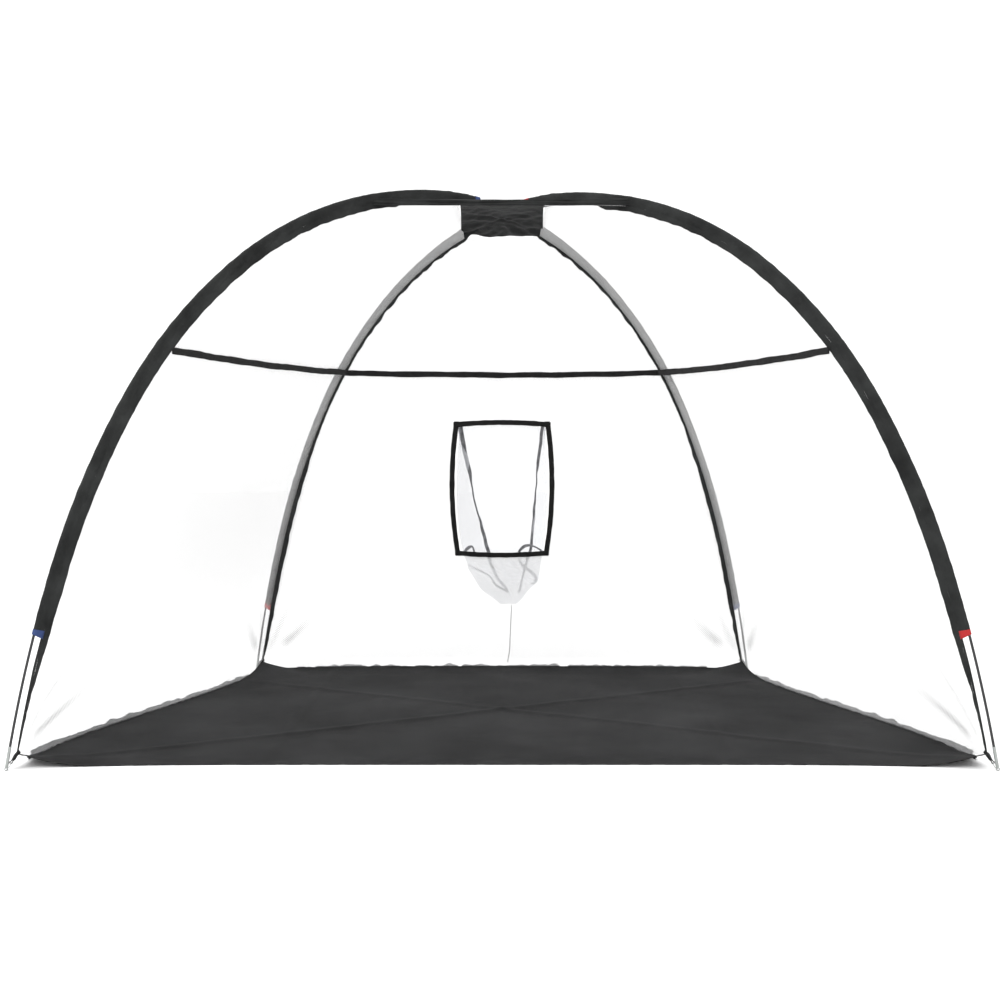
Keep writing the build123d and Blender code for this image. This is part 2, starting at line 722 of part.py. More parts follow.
def crown_patch():
    """Black patch under the crossing, from the visor back to the back ridges."""
    rows = []
    for y, half, middle_z, edge_z, sag in PATCH_ROWS:
        shares = (-1, -0.5, 0, 0.5, 1)
        heights = [between(middle_z, edge_z, k * k) for k in shares]
        rows.append([Vector(half * k, y + sag * (1 - k * k), z) for k, z in zip(shares, heights)])
    return sheet_solid(rows, PATCH_THICKNESS)


def sheet_corners():
    """Corner points of the ground sheet, front right and back right."""
    eye = (EYELET_RADIUS + EYELET_WIRE) / tan(LOWER_FOOT_ANGLE)
    reach = eye + (TAIL_LENGTH + TAIL_TO_SHEET) * cos(TAIL_ANGLE)
    across = (FRONT_WIDTH + BACK_WIDTH) / 2
    span = hypot(across, DEPTH)
    x, y = reach * across / span, reach * DEPTH / span
    return Vector(FRONT_WIDTH / 2 - x, -DEPTH / 2 + y, 0), Vector(BACK_WIDTH / 2 - x, DEPTH / 2 - y, 0)


def sheet_point(t, v, above=0.0):
    """Point of the ground sheet: t runs front to back and v left to right."""
    front, back = sheet_corners()
    side = abs(2 * v - 1)
    half = front.X + (back.X - front.X) * t + side_bow(t)
    front_y = SHEET_FRONT_Y - (SHEET_FRONT_Y - front.Y) * side ** 6
    back_y = SHEET_BACK_Y - (SHEET_BACK_Y - back.Y) * side ** 4
    x, y = half * (2 * v - 1), front_y + (back_y - front_y) * t
    near = min(hypot(abs(x) - corner.X, y - corner.Y) for corner in (front, back))
    corner_lift = CORNER_LIFT * max(0.0, 1 - near / CORNER_REACH) ** 2
    hem_lift = BACK_HEM_LIFT * max(0.0, 1 - (1 - t) / BACK_HEM_REACH) ** 2
    return Vector(x, y, SHEET_THICKNESS / 2 + max(corner_lift, hem_lift) + above)


def ground_sheet():
    """Ground sheet, flat on the ground and lifted at its four corners."""
    return sheet_solid([[sheet_point(t, v) for v in SHEET_STEPS] for t in SHEET_STEPS], SHEET_THICKNESS)


def floor_skirt(points, outward):
    """Loose hem strip lying outside an edge of the ground sheet."""
    rows = []
    for p in points:
        near = Vector(p.X, p.Y, SHEET_THICKNESS / 2) + outward * SKIRT_GAP
        rows.append([near, near + outward * SKIRT_WIDTH])
    return sheet_solid(rows, SHEET_THICKNESS)


def skirts():
    """The three loose hem strips by name."""
    front, back = sheet_corners()
    lean = (front.X - back.X) / DEPTH
    right = Vector(1, lean, 0).normalized()
    left = Vector(-right.X, right.Y, 0)
    inner = [SKIRT_START + SKIRT_STEP * i for i in range(SKIRT_POINTS)]
    return {
        "left_floor_skirt": floor_skirt([sheet_point(t, 0) for t in inner], left),
        "right_floor_skirt": floor_skirt([sheet_point(t, 1) for t in inner], right),
        "back_floor_skirt": floor_skirt([sheet_point(1, v) for v in inner], Vector(0, 1, 0)),
    }


def strap_piece(a, b, inward):
    """Tape between two points, standing on edge just inside the net."""
    step = (b - a).normalized() * NET_EDGE_GAP
    rows = []
    for z in (-STRAP_WIDTH / 2, STRAP_WIDTH / 2):
        shift = inward * STRAP_INSET + UP * z
        rows.append([between(a + step, b - step, j / 2) + shift for j in range(3)])
    return sheet_solid(rows, STRAP_THICKNESS)


def wall_strap(ridges):
    """Webbing strap sewn level round the three walls, one length for each wall."""
    reach = SEAM_OFFSET + FRONT_STRIP_WIDTH + STRAP_TO_STRIP
    ends = {}
    for name, ridge in ridges.items():
        ends[name] = ridge.point(ridge.at_height(STRAP_HEIGHT, reach), reach)
    right = Vector(1, 0, 0)
    pieces = [
        strap_piece(ends["front_left"], ends["back_left"], right),
        strap_piece(ends["back_left"], ends["back_right"], Vector(0, -1, 0)),
        strap_piece(ends["front_right"], ends["back_right"], right * -1),
    ]
    return pieces


def build():
    """Every node of the net by name."""
    feet = {
        "front_left": (-FRONT_WIDTH / 2, -DEPTH / 2, 0),
        "front_right": (FRONT_WIDTH / 2, -DEPTH / 2, 0),
        "back_left": (-BACK_WIDTH / 2, DEPTH / 2, 0),
        "back_right": (BACK_WIDTH / 2, DEPTH / 2, 0),
    }
    blue = Pole(feet["front_left"], feet["back_right"], UPPER_FOOT_ANGLE)
    red = Pole(feet["front_right"], feet["back_left"], LOWER_FOOT_ANGLE)
    blue_cross, red_cross = crossing_lengths(blue, red)
    gap = blue.station(blue_cross)[1] - red.station(red_cross)[1]
    print("pole length", round(blue.length), "crossing", round(blue_cross), "axis gap", round(gap, 2))
    print("pole top", round(blue.station(blue.length / 2)[1], 1))
    ridges = {
        "front_left": Ridge(blue, True, blue_cross),
        "front_right": Ridge(red, True, red_cross),
        "back_left": Ridge(red, False, red_cross),
        "back_right": Ridge(blue, False, blue_cross),
    }
    nodes = {}
    nodes.update(pole_nodes("blue", blue))
    nodes.update(pole_nodes("red", red))
    nodes["pole_end_tubes"] = Compound(children=[end_tube(r) for r in ridges.values()])
    for name, ridge in ridges.items():
        nodes[f"{name}_ground_pin"] = ground_pin(ridge)
        nodes[f"{name}_corner_ring"] = corner_ring(ridge)
        nodes[f"{name}_pole_sleeve"] = pole_sleeve(ridge)
        nodes[f"{name}_border_strip"] = border_strip(ridge)
    nodes["corner_webbing_tails"] = Compound(children=[corner_tail(r) for r in ridges.values()])
    blue_tabs = sleeve_tabs(ridges["front_left"], True) + sleeve_tabs(ridges["back_right"], False)
    red_tabs = sleeve_tabs(ridges["front_right"], True) + sleeve_tabs(ridges["back_left"], False)
    nodes["blue_sleeve_tabs"] = Compound(children=blue_tabs)
    nodes["red_sleeve_tabs"] = Compound(children=red_tabs)
    left, right = ridges["back_left"], ridges["back_right"]
    nodes["left_wall_net"] = side_wall(ridges["front_left"], left, 0)
    nodes["right_wall_net"] = side_wall(ridges["front_right"], right, 1)
    nodes["back_wall_net"] = back_wall(left, right)
    nodes["roof_net"] = Compound(children=roof_net(ridges))
    nodes["front_visor"] = visor(ridges)
    nodes["crown_patch"] = crown_patch()
    nodes["floor_sheet"] = ground_sheet()
    nodes.update(skirts())
    nodes["wall_strap"] = Compound(children=wall_strap(ridges))
    nodes["target_frame_webbing"] = Compound(children=target_frame(left))
    nodes["target_pocket_net"] = target_pocket(left)
    nodes["pocket_seam_tapes"] = Compound(children=pocket_tapes(left))
    nodes["pocket_pull_cord"] = pull_cord()
    nodes["pull_cord_knot"] = cord_knot()
    return nodes


os.makedirs("parts", exist_ok=True)
for node_name, shape in build().items():
    export_step(shape, f"parts/{node_name}.step")
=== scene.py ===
"""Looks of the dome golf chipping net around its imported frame: cloth, netting, webbing, steel and fibreglass.

Metres, +Z up, the open front faces -Y. The pole curve and the layout repeat the model's own dimensions,
so each piece of cloth follows its solid.
"""

import bpy
from math import atan2, cos, exp, hypot, pi, radians, sin, tan
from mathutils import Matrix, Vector, noise


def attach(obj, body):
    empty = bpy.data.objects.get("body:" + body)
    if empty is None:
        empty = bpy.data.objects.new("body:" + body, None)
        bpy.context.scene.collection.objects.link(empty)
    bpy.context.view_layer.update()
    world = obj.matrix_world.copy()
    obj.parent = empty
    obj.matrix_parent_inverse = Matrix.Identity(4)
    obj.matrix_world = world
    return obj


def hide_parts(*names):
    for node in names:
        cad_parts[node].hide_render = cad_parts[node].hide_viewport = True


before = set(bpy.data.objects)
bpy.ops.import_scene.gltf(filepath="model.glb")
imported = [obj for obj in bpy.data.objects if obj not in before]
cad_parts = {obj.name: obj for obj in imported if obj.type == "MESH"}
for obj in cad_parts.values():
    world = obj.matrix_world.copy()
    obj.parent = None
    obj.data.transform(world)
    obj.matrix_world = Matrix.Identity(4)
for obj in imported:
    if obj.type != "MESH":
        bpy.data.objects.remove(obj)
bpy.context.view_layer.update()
BODY = "net_and_poles"

# Layout
FRONT_WIDTH = 3.5
BACK_WIDTH = 2.52
DEPTH = 2.0

# Poles
SECTIONS = 9
UPPER_FOOT_ANGLE = 1.3955
LOWER_FOOT_ANGLE = 1.3903
SHOULDER_STIFFNESS = 0.287
END_STRAIGHT = 0.05

# Cloth along the poles, as offsets from the pole axis towards the inside of the dome
SEAM_OFFSET = 0.033
SLEEVE_NOSE = 0.0074
FRONT_SLEEVE_START = 0.5
BACK_SLEEVE_START = 0.36
SLEEVE_TO_CROSSING = 0.14
CROWN_SLACK = {"blue": 1.4, "red": 1.9}
CROWN_SLACK_LENGTH = 0.45
BACK_SLACK = 1.1
FRONT_STRIP_END = 2.77
FRONT_STRIP_TIP = 2.96
BACK_STRIP_TO_CROSSING = 0.190
VISOR_HALF_WIDTH = 0.548
VISOR_HEIGHTS = (2.138, 2.166)

# Border strips: distance from the foot, and how far in from the pole the strip starts and ends
FRONT_STRIP_PROFILE = (
    (0.062, 0.026, 0.034),
    (0.100, 0.025, 0.033),
    (0.190, 0.025, 0.035),
    (0.275, 0.025, 0.039),
    (0.370, 0.024, 0.047),
    (0.490, 0.026, 0.054),
    (0.640, 0.028, 0.057),
    (2.880, 0.028, 0.056),
    (2.960, 0.030, 0.038),
)
BACK_STRIP_PROFILE = (
    (0.070, 0.024, 0.040),
    (0.160, 0.030, 0.050),
    (0.330, 0.032, 0.060),
    (0.500, 0.030, 0.062),
    (1.000, 0.030, 0.060),
    (1.350, 0.030, 0.048),
    (4.000, 0.030, 0.046),
)

# Netting and ground sheet
SIDE_NET_TO_CROSSING = 0.224
ROOF_NET_TO_CROSSING = 0.250
ROOF_NET_INNER_X = 0.178
ROOF_NET_LOW_Z = 2.144
BACK_NET_TOP_BOW = 0.042
BACK_NET_BOWED_ROWS = 22
LEVEL_TOP = 1.95
COLUMNS = 150
FINE_ROW = 0.012
FINE_ROWS_TOP = 0.60
DOT_PITCH = 0.0105
DOT_SOFTNESS = 0.3
NET_LIFT = 0.004
SHEET_FRONT_Y = -0.915
SHEET_BACK_Y = 1.050
CORNER_LIFT = 0.054
CORNER_REACH = 0.280
HEM_WIDTH = 0.014
FOLD_LINES = (-0.86, 0.0, 0.86)
BACK_HEM_LIFT = 0.017
BACK_HEM_REACH = 0.08
SIDE_BOW = 0.8
SIDE_BOW_HEIGHT = 0.7
BACK_BOW_HEIGHT = 0.56

# Corner hardware
EYELET_REACH = 0.007
RING_RADIUS = 0.0135
TAIL_ANGLE = radians(52)
TAIL_LENGTH = 0.064
TAIL_HALF_WIDTH = 0.0130
TAIL_HALF_AT_RING = 0.0042
TAIL_LOOP_RADIUS = 0.0046

STRAP_HEIGHT = 1.505
STRAP_WIDTH = 0.027
STRAP_REACH = 0.053

# Target
TARGET_Z = 0.940
TARGET_HEIGHT = 0.680
TARGET_TOP_WIDTH = 0.468
TARGET_BOTTOM_WIDTH = 0.464
TARGET_SIDE_BULGE = 0.027
TARGET_END_BOW = 0.012
WEBBING_WIDTH = 0.025
MOUTH_HALF_WIDTH = 0.217
MOUTH_BULGE = 0.024
MOUTH_HALF_HEIGHT = 0.325

# Pocket levels: height, left, right, front and back behind the wall, left seam, right seam
POCKET_LEVELS = (
    (1.262, -0.205, 0.205, 0.004, 0.016, -0.206, 0.201),
    (1.130, -0.220, 0.220, 0.004, 0.066, -0.186, 0.186),
    (1.020, -0.224, 0.224, 0.004, 0.090, -0.161, 0.174),
    (0.860, -0.226, 0.226, 0.004, 0.114, -0.136, 0.166),
    (0.720, -0.216, 0.216, 0.004, 0.130, -0.096, 0.155),
    (0.620, -0.198, 0.205, 0.004, 0.140, -0.071, 0.146),
    (0.560, -0.172, 0.194, 0.010, 0.146, -0.062, 0.126),
    (0.545, -0.176, 0.193, 0.012, 0.147, -0.056, 0.122),
    (0.470, -0.132, 0.184, 0.022, 0.146, -0.022, 0.104),
    (0.425, -0.106, 0.136, 0.036, 0.143, 0.022, 0.094),
    (0.370, -0.036, 0.100, 0.074, 0.128, 0.034, 0.072),
    (0.343, -0.010, 0.072, 0.084, 0.122, 0.036, 0.052),
)

# Pull cord, from the pocket's tip to its knot
PULL_CORD_ROUTE = (
    (0.048, 1.048, 0.334),
    (0.0485, 1.052, 0.296),
    (0.0455, 1.062, 0.253),
    (0.044, 1.0645, 0.205),
    (0.0415, 1.072, 0.156),
    (0.041, 1.073, 0.110),
    (0.036, 1.079, 0.070),
    (0.030, 1.0805, 0.044),
)
PULL_CORD_DIAMETER = 0.004
KNOT_POINTS = 24
KNOT_WIDTH = 0.00082
KNOT_HEIGHT = 0.00125
KNOT_STRAND_RADIUS = 0.0017

CAMERA_PLACE = (0, -5.352, 1.122)
CAMERA_TILT = 0.038
CAMERA_LENS = 44.82
CAMERA_SHIFT = -0.002

UP = Vector((0, 0, 1))


# ---- pole curve

def last_below(low, high, is_below):
    """The place between low and high up to which is_below holds, by halving."""
    for _ in range(50):
        middle = 0.5 * (low + high)
        if is_below(middle):
            low = middle
        else:
            high = middle
    return low


class Pole:
    """One bent pole: a straight end, nine tangent arcs and a straight end, in an upright plane."""

    def __init__(self, start, end, foot_angle):
        self.start = Vector(start)
        span = Vector(end) - self.start
        self.along = span.normalized()
        self.normal = self.along.cross(UP)
        self.foot_angle = foot_angle
        angles = [self.bend(i / SECTIONS) for i in range(SECTIONS + 1)]
        turns = [angles[i] - angles[i + 1] for i in range(SECTIONS)]
        chord = span.length - 2 * END_STRAIGHT * cos(foot_angle)
        reach = sum(2 * sin(t / 2) / t * cos(a - t / 2) for t, a in zip(turns, angles))
        self.section_length = chord / reach
        self.length = SECTIONS * self.section_length + 2 * END_STRAIGHT
        self.arcs = []
        u, v = END_STRAIGHT * cos(foot_angle), END_STRAIGHT * sin(foot_angle)
        for turn, angle in zip(turns, angles):
            radius = self.section_length / turn
            centre = (u + radius * sin(angle), v - radius * cos(angle))
            self.arcs.append((centre, radius, angle))
            u, v = centre[0] - radius * sin(angle - turn), centre[1] + radius * cos(angle - turn)
        self.last_place = (u, v)

    def bend(self, fraction):
        return self.foot_angle * (1 - 2 * fraction) + SHOULDER_STIFFNESS * sin(2 * pi * fraction)

    def station(self, s):
        """Place in the pole's plane and slope at a length s from the start foot."""
        inner = s - END_STRAIGHT
        if inner <= 0:
            return s * cos(self.foot_angle), s * sin(self.foot_angle), self.foot_angle
        if inner >= SECTIONS * self.section_length:
            rest = inner - SECTIONS * self.section_length
            u = self.last_place[0] + rest * cos(self.foot_angle)
            return u, self.last_place[1] - rest * sin(self.foot_angle), -self.foot_angle
        centre, radius, angle = self.arcs[int(inner // self.section_length)]
        slope = angle - (inner % self.section_length) / radius
        return centre[0] - radius * sin(slope), centre[1] + radius * cos(slope), slope


class Ridge:
    """Half of a pole, from one foot up to the crossing."""

    def __init__(self, pole, from_start):
        self.pole = pole
        self.from_start = from_start
        share = FRONT_WIDTH / (FRONT_WIDTH + BACK_WIDTH)
        target = share * hypot((FRONT_WIDTH + BACK_WIDTH) / 2, DEPTH)
        reached = last_below(0.0, pole.length, lambda s: pole.station(s)[0] < target)
        self.crossing = reached if from_start else pole.length - reached
        self.inwards = pole.along if from_start else -pole.along
        self.foot = self.point(0)

    def point(self, distance, inward=0.0, across=0.0):
        s = distance if self.from_start else self.pole.length - distance
        u, v, slope = self.pole.station(s)
        outward = self.pole.along * -sin(slope) + UP * cos(slope)
        axis = self.pole.start + self.pole.along * u + UP * v
        return axis - outward * inward + self.pole.normal * across

    def at_height(self, height, inward=SEAM_OFFSET):
        """The distance from the foot where a line beside the pole reaches a height."""
        return last_below(0.0, self.pole.length / 2, lambda distance: self.point(distance, inward).z < height)


BLUE = Pole((-FRONT_WIDTH / 2, -DEPTH / 2, 0), (BACK_WIDTH / 2, DEPTH / 2, 0), UPPER_FOOT_ANGLE)
RED = Pole((FRONT_WIDTH / 2, -DEPTH / 2, 0), (-BACK_WIDTH / 2, DEPTH / 2, 0), LOWER_FOOT_ANGLE)
RIDGES = {
    "front_left": Ridge(BLUE, True),
    "front_right": Ridge(RED, True),
    "back_left": Ridge(RED, False),
    "back_right": Ridge(BLUE, False),
}


# ---- small helpers

def mix(a, b, share):
    return a + (b - a) * share


def smooth(value, low, high):
    """0 below low, 1 above high, with a soft step between."""
    share = min(1.0, max(0.0, (value - low) / (high - low)))
    return share * share * (3 - 2 * share)


def wave(x, y=0.0, z=0.0):
    """Smooth noise from about -1 to 1."""
    return 2 * noise.noise(Vector((x, y, z)))


def profile(table, distance):
    """Straight-line values between the rows of a table, after its first column."""
    for low, high in zip(table, table[1:]):
        if distance <= high[0]:
            share = max(0.0, (distance - low[0]) / (high[0] - low[0]))
            return [mix(a, b, share) for a, b in zip(low[1:], high[1:])]
    return list(table[-1][1:])


def steps(low, high, size):
    count = max(2, int(round((high - low) / size)))
    return [mix(low, high, i / count) for i in range(count + 1)]


def show(name, data):
    """A new object in the scene."""
    thing = bpy.data.objects.new(name, data)
    bpy.context.scene.collection.objects.link(thing)
    return thing


def place_piece(piece, slot, *nodes):
    """Ride a piece on the net in place of the solids it stands for. The slot is not used."""
    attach(piece, BODY)
    if nodes:
        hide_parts(*nodes)


class Cloth:
    """A mesh put together from grids of points, with UVs in metres along the cloth."""

    def __init__(self):
        self.points, self.faces, self.uvs, self.marks = [], [], [], []

    def grid(self, rows, keep=None, marks=None):
        base, width = len(self.points), len(rows[0])
        u_lengths = [[0.0] for _ in rows]
        v_lengths = [[0.0] * width for _ in rows]
        for i, row in enumerate(rows):
            for j in range(1, width):
                u_lengths[i].append(u_lengths[i][-1] + (row[j] - row[j - 1]).length)
            if i:
                v_lengths[i] = [v_lengths[i - 1][j] + (row[j] - rows[i - 1][j]).length for j in range(width)]
        half = [lengths[-1] / 2 for lengths in u_lengths]
        for i, row in enumerate(rows):
            self.points += row
            self.marks += marks[i] if marks else [0.0] * width
            self.uvs += [(u_lengths[i][j] - half[i], v_lengths[i][j]) for j in range(width)]
        for i in range(len(rows) - 1):
            for j in range(width - 1):
                if keep is None or keep(i, j):
                    a = base + i * width + j
                    self.faces.append((a, a + 1, a + 1 + width, a + width))
        return self

    def build(self, name, material, slot, thickness=0.0, stands_in=True):
        """The finished piece. It stands in for the solid of its own name, where there is one."""
        mesh = bpy.data.meshes.new(name)
        mesh.from_pydata([tuple(p) for p in self.points], [], self.faces)
        layer = mesh.uv_layers.new(name="cloth")
        for loop in mesh.loops:
            layer.data[loop.index].uv = self.uvs[loop.vertex_index]
        mark = mesh.attributes.new("mark", "FLOAT", "POINT")
        mark.data.foreach_set("value", self.marks)
        mesh.shade_smooth()
        mesh.materials.append(material)
        piece = show(name, mesh)
        if thickness:
            solid = piece.modifiers.new("thickness", "SOLIDIFY")
            solid.thickness = thickness
            solid.offset = 0
        place_piece(piece, slot, *([name] if stands_in else []))
        return piece


# ---- materials

def new_material(name):
    material = bpy.data.materials.new(name)
    material.use_nodes = True
    return material, material.node_tree, material.node_tree.nodes["Principled BSDF"]


def fill(tree, node, inputs):
    """Give a node's inputs their values: a socket is linked, anything else is set on the input itself."""
    for key, value in inputs.items():
        if isinstance(value, bpy.types.NodeSocket):
            tree.links.new(value, node.inputs[key])
        else:
            node.inputs[key].default_value = value


def add(tree, kind, inputs, **settings):
    """The outputs of a new node."""
    node = tree.nodes.new(kind)
    for key, value in settings.items():
        setattr(node, key, value)
    fill(tree, node, inputs)
    return node.outputs


def coordinates(tree, kind, scale=(1, 1, 1)):
    """Scaled coordinates: UV in metres along the cloth, or Object in metres."""
    source = add(tree, "ShaderNodeTexCoord", {})[kind]
    return add(tree, "ShaderNodeMapping", {"Vector": source, "Scale": scale})[0]


def calc(tree, operation, *values):
    return add(tree, "ShaderNodeMath", dict(enumerate(values)), operation=operation)[0]


def waves(tree, shape, across, along):
    """Waves along the cloth's two axes, in radians a metre."""
    place = coordinates(tree, "UV", (across, along, 1))
    parts = add(tree, "ShaderNodeSeparateXYZ", {"Vector": place})
    return [calc(tree, shape, parts[i]) for i in range(2)]


def grain(tree, place, scale, detail, roughness=0.5, distortion=0.0):
    """Noise over the surface, from 0 to 1."""
    values = {"Scale": scale, "Detail": detail, "Roughness": roughness, "Distortion": distortion}
    return add(tree, "ShaderNodeTexNoise", {"Vector": place, **values})[0]


def map_range(tree, value, low, high, to_low=0.0, to_high=1.0):
    values = {"Value": value, "From Min": low, "From Max": high, "To Min": to_low, "To Max": to_high}
    return add(tree, "ShaderNodeMapRange", values)[0]


def bump(tree, height, strength, distance, **normal):
    values = {"Height": height, "Strength": strength, "Distance": distance}
    return add(tree, "ShaderNodeBump", {**values, **normal})[0]


def ramp(tree, source, low, high, low_colour, high_colour):
    node = tree.nodes.new("ShaderNodeValToRGB")
    for element, position, colour in zip(node.color_ramp.elements, (low, high), (low_colour, high_colour)):
        element.position = position
        element.color = (*colour, 1)
    tree.links.new(source, node.inputs["Fac"])
    return node.outputs["Color"]


def cloth_material(
    name, dark, light, pitch=0.0009, roughness=0.8, sheen=0.25, shine=0.22, crease=0.5, crease_scale=9.0,
    patch_scale=3.5,
):
    """Woven cloth: thread-scale bump, soft creases, and colour that drifts a little over its surface."""
    material, tree, shader = new_material(name)
    threads = calc(tree, "MULTIPLY", *waves(tree, "SINE", pi / pitch, pi / pitch))
    weave = bump(tree, threads, 0.35, pitch * 0.35)
    place = coordinates(tree, "Object")
    drift = grain(tree, place, patch_scale, 5.0, 0.6)
    folds = grain(tree, place, crease_scale, 6.0, 0.55, 0.8)
    fill(tree, shader, {
        "Base Color": ramp(tree, drift, 0.3, 0.72, dark, light),
        "Normal": bump(tree, folds, crease, 0.006, Normal=weave),
        "Roughness": map_range(tree, drift, 0, 1, roughness - 0.1, min(1.0, roughness + 0.1)),
        "Sheen Weight": sheen,
        "Sheen Roughness": 0.4,
        "Specular IOR Level": shine,
    })
    return material


def webbing_material(name, dark, light, rib=0.0022):
    """Flat webbing: ribs across it, finer rows along it, and small specks of a lighter shade."""
    material, tree, shader = new_material(name)
    rows, ribs = waves(tree, "SINE", 2 * pi / (rib * 0.8), 2 * pi / rib)
    height = calc(tree, "ADD", ribs, calc(tree, "MULTIPLY", rows, 0.6))
    speck = grain(tree, coordinates(tree, "Object"), 60.0, 3.0)
    fill(tree, shader, {
        "Base Color": ramp(tree, speck, 0.3, 0.75, dark, light),
        "Normal": bump(tree, height, 0.5, 0.0006),
        "Roughness": 0.85,
        "Sheen Weight": 0.04,
        "Specular IOR Level": 0.2,
    })
    return material


def netting_material(name, tint, shade, pitch, low, high, dotted):
    """Fine knitted mesh with see-through cells; where mark is set it takes a shade, or dots of it."""
    material, tree, shader = new_material(name)
    cells = calc(tree, "MULTIPLY", *waves(tree, "COSINE", 2 * pi / pitch, 2 * pi / (pitch * 1.6)))
    cover = map_range(tree, cells, -0.6, 0.6, high, low)
    amount = add(tree, "ShaderNodeAttribute", {}, attribute_name="mark")["Fac"]
    if dotted:
        dots = calc(tree, "MULTIPLY", *waves(tree, "COSINE", 2 * pi / DOT_PITCH, 2 * pi / DOT_PITCH))
        amount = calc(tree, "MULTIPLY", map_range(tree, dots, 0.0, DOT_SOFTNESS), amount)
        cover = calc(tree, "MAXIMUM", cover, amount)
    colours = {"Factor": amount, 6: (*tint, 1), 7: (*shade, 1)}
    fill(tree, shader, {
        "Alpha": cover,
        "Base Color": add(tree, "ShaderNodeMix", colours, data_type="RGBA")[2],
        "Roughness": 0.9,
        "Specular IOR Level": 0.1,
    })
    return material


def steel_material(name, base, roughness):
    """Zinc-plated steel: a fine grain, and dull patches."""
    material, tree, shader = new_material(name)
    place = coordinates(tree, "Object")
    patches = grain(tree, place, 120.0, 4.0)
    fill(tree, shader, {
        "Base Color": ramp(tree, patches, 0.3, 0.7, [c * 0.82 for c in base], base),
        "Roughness": map_range(tree, patches, 0, 1, roughness - 0.08, roughness + 0.14),
        "Normal": bump(tree, grain(tree, place, 900.0, 2.0), 0.15, 0.0002),
        "Metallic": 1.0,
    })
    return material


def fibreglass_material(name, base):
    """Smooth black rod with a faint grain and small scuffs."""
    material, tree, shader = new_material(name)
    place = coordinates(tree, "Object")
    scuff = grain(tree, place, 45.0, 6.0, 0.7)
    fill(tree, shader, {
        "Base Color": ramp(tree, scuff, 0.45, 0.8, base, [c * 1.9 for c in base]),
        "Roughness": map_range(tree, scuff, 0, 1, 0.22, 0.5),
        "Normal": bump(tree, grain(tree, place, 1500.0, 1.0), 0.1, 0.0001),
    })
    return material


OXFORD = cloth_material(
    "black_oxford", (0.0052, 0.0056, 0.0056), (0.025, 0.0265, 0.026), sheen=0.05, crease=1.0, patch_scale=7.0
)
SHEET = cloth_material(
    "ground_sheet", (0.0045, 0.0045, 0.0048), (0.029, 0.029, 0.0298), roughness=0.72, sheen=0.01, shine=0.07,
    crease=0.6, crease_scale=3.2, patch_scale=1.9,
)
PATCH_CLOTH = cloth_material(
    "crown_cloth", (0.0055, 0.006, 0.006), (0.013, 0.0135, 0.0135), sheen=0.04, crease=0.9
)
SKIRT = cloth_material(
    "floor_skirt", (0.010, 0.0105, 0.012), (0.045, 0.046, 0.050), sheen=0.05, crease=1.0, crease_scale=30.0
)
BLUE_BINDING = cloth_material(
    "blue_binding", (0.018, 0.032, 0.105), (0.048, 0.078, 0.20), pitch=0.0012, sheen=0.05
)
RED_BINDING = cloth_material(
    "red_binding", (0.30, 0.015, 0.016), (0.42, 0.027, 0.028), pitch=0.0012, sheen=0.05
)
WEBBING = webbing_material("black_webbing", (0.004, 0.004, 0.004), (0.012, 0.012, 0.012))
POCKET_TAPE = webbing_material("pocket_tape", (0.10, 0.10, 0.105), (0.24, 0.24, 0.25), rib=0.0030)
CORD = webbing_material("pull_cord", (0.004, 0.004, 0.0044), (0.014, 0.014, 0.015), rib=0.0024)
# Its near-black second colour is painted as dots along two rays up from each lower corner of the walls.
NETTING = netting_material(
    "white_netting", (0.93, 0.93, 0.93), (0.012, 0.012, 0.013), pitch=0.0032, low=0.10, high=0.74, dotted=True
)
# Its grey second colour is painted shade on the pocket's gussets and lobe.
POCKET_MESH = netting_material(
    "pocket_mesh", (0.88, 0.89, 0.92), (0.42, 0.43, 0.47), pitch=0.0030, low=0.20, high=0.62, dotted=False
)
ZINC = steel_material("zinc_steel", (0.40, 0.42, 0.41), 0.38)
RING_STEEL = steel_material("ring_steel", (0.34, 0.35, 0.35), 0.30)
FIBREGLASS = fibreglass_material("black_fibreglass", (0.012, 0.012, 0.013))
ELASTIC = cloth_material("elastic_cord", (0.55, 0.55, 0.55), (0.72, 0.72, 0.72))


# ---- cloth surfaces

def sheet_corners():
    """Corner points of the ground sheet, front right and back right."""
    reach = EYELET_REACH / tan(LOWER_FOOT_ANGLE) + TAIL_LENGTH * cos(TAIL_ANGLE)
    across = (FRONT_WIDTH + BACK_WIDTH) / 2
    span = hypot(across, DEPTH)
    x, y = reach * across / span, reach * DEPTH / span
    return Vector((FRONT_WIDTH / 2 - x, y - DEPTH / 2, 0)), Vector((BACK_WIDTH / 2 - x, DEPTH / 2 - y, 0))


FRONT_CORNER, BACK_CORNER = sheet_corners()


def side_bow(t):
    return SIDE_BOW * t * (1 - t) ** 3


def sheet_point(t, v, above=0.0):
    """Point of the ground sheet: t runs front to back and v left to right."""
    side = abs(2 * v - 1)
    half = FRONT_CORNER.x + (BACK_CORNER.x - FRONT_CORNER.x) * t + side_bow(t)
    front_y = SHEET_FRONT_Y - (SHEET_FRONT_Y - FRONT_CORNER.y) * side ** 6
    back_y = SHEET_BACK_Y - (SHEET_BACK_Y - BACK_CORNER.y) * side ** 4
    x, y = half * (2 * v - 1), front_y + (back_y - front_y) * t
    near = min(hypot(abs(x) - c.x, y - c.y) for c in (FRONT_CORNER, BACK_CORNER))
    corner_lift = CORNER_LIFT * max(0.0, 1 - near / CORNER_REACH) ** 2
    hem_lift = BACK_HEM_LIFT * max(0.0, 1 - (1 - t) / BACK_HEM_REACH) ** 2
    return Vector((x, y, 0.0006 + max(corner_lift, hem_lift) + above))


def fade(height, top):
    return max(0.0, 1 - height / top) ** 2


